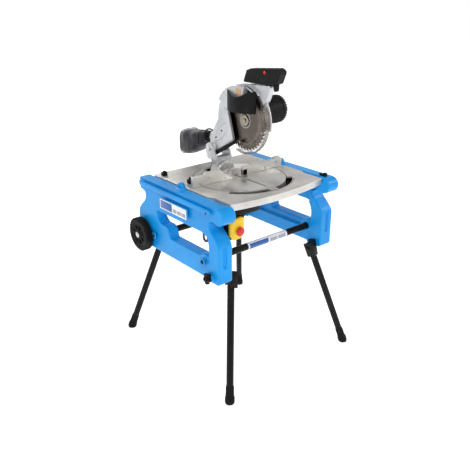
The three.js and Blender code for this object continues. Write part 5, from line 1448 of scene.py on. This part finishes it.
bag_mesh = blown_up(bag_loft())
splits = 1
bag_mesh = modified(bag_mesh, ("SUBSURF", {"levels": splits, "render_levels": splits}))
for vertex in bag_mesh.vertices:
    way = Vector((vertex.co.x, 0, vertex.co.z - (PORT[1] - 50) * MM)).normalized()
    fold = noise.noise(Vector((vertex.co.x * 22, vertex.co.y * 34, vertex.co.z * 16)))
    crease = abs(noise.noise(Vector((vertex.co.x * 9 + 5, vertex.co.y * 13, vertex.co.z * 9))))
    inward = min(1.0, max(0.0, (vertex.co.y - 0.19) / 0.03))
    vertex.co += way * (fold * 4.0 - (0.30 - min(crease, 0.30)) * 15.0) * MM * inward
bag = make("dust_bag_cloth", BAG_CLOTH, "head", bag_mesh, ["dust_bag"], 180)
print("bag:", len(bag.data.polygons), "faces")


# %% [markdown]
# A line of piping runs round the bag's end panel and another round its collar, and a strap grips the port.

# %% Bag trim
piping = [wire(bag_ring(BAG[k], 48, 0.5, grow), 1.5, True, 2) for k, grow in ((2, -0.8), (6, -1.0))]
strap = lathe("Y", PORT, [(25.5, 176), (28, 177), (28.5, 186), (27, 190), (25.5, 190), (25.5, 176)], 40)
make("dust_bag_piping", BLACK_PLASTIC, "head", [*piping, strap])


# %% [markdown]
# Fixings come last, because they sit on finished surfaces. Each list gives a point and the way that the
# screw faces; the screw tree then stands a socket screw on every point. Recessed bolts in the frames get
# a near-black cup behind them, painted shade for the recess, which is what shows from a distance.

# %% Screws and bolts
def put_screws(name, body, places, radius, height=2.0, finish=None):
    mesh = screws(places, radius, height, radius * 0.5)
    make(name, finish or STEEL, body, mesh)
    print(name, len(places))


FRONT, UP = (0, -1, 0), (0, 0, 1)
fence_screws = [((x, -31, TABLE_TOP + z), FRONT)
                for x, z in ((-170, 30), (-80, 12), (-215, 12), (60, 12), (150, 12), (215, 28))]
fence_screws += [((s * 238, y, TABLE_TOP + 10), UP) for s in (-1, 1) for y in (-2,)]
put_screws("fence_screws", "table", fence_screws, 3.2)
insert_screws = [((x, y, TABLE_TOP + 0.4), UP) for y in (-206, -88, 32) for x in (-9, 10)]
put_screws("kerf_insert_screws", "turntable", insert_screws, 2.6, 1.2)
pointer_screw = [((0, -30 - POINTER_R + 12, TABLE_TOP + 1), UP)]
put_screws("pointer_screw", "turntable", pointer_screw, 3.4)
table_screws = [((s * 240, y, TABLE_TOP + 0.3), UP) for s in (-1, 1) for y in (-200, 60, 120)]
put_screws("table_screws", "table", table_screws, 3.4, 1.4)
grip_screws = [((side * 18.3, HUB[0] + y, HUB[1] + CROWN + z), (side, 0, 0))
               for side in (-1, 1) for y, z in ((-24, 30), (-90, 46), (-146, 60), (-190, 56))]
put_screws("grip_screws", "head", grip_screws, 3.0, 1.4, DARK_STEEL)
head_screws = [((-30, HUB[0] + y, HUB[1] + z), (-1, 0, 0)) for y, z in ((120, -60), (158, -96))]
put_screws("head_casting_screws", "head", head_screws, 4.0, 2.4, DARK_STEEL)
cover_screws = [((x, cover_low.y + 0.8, z), FRONT) for x, z in (
    (cover_low.x + 12, cover_high.z - 10), (cover_high.x - 12, cover_high.z - 10),
    (cover_low.x + 12, cover_low.z + 24))]
put_screws("switch_cover_screws", "switch_cover", cover_screws, 2.4, 1.0)
skin = BVHTree.FromPolygons([v.co for v in right_skin.vertices], [p.vertices[:] for p in right_skin.polygons])


def face_at(y, z):
    return skin.ray_cast(Vector((400, y, z)) * MM, Vector((-1, 0, 0)))[0].x / MM


stand_bolts, bolt_recess_shades = [], []
for y, z, radius in ((-196, CROSS_Z + 2, 10), (154, CROSS_Z, 10), (-225, 782, 4.5)):
    face = face_at(y, z + radius + 3)
    for side in (-1, 1):
        # Each cup is a near-black disc at the frame's face: painted shade in the bolt's recess.
        bolt_recess_shades.append(cylinder("X", (y, z), radius, sorted((side * (face - 8), side * (face + 0.4))), 0.3, 32))
        if radius == 10:
            stand_bolts.append(((side * (face + 1.4), y, z), (side, 0, 0)))
put_screws("cross_tube_bolts", "stand", stand_bolts, 7.0, 3.0, DARK_STEEL)
make("frame_bolt_recess_painted_shade", SHADE_AND_MARK_BLACK, "stand", joined(*bolt_recess_shades))
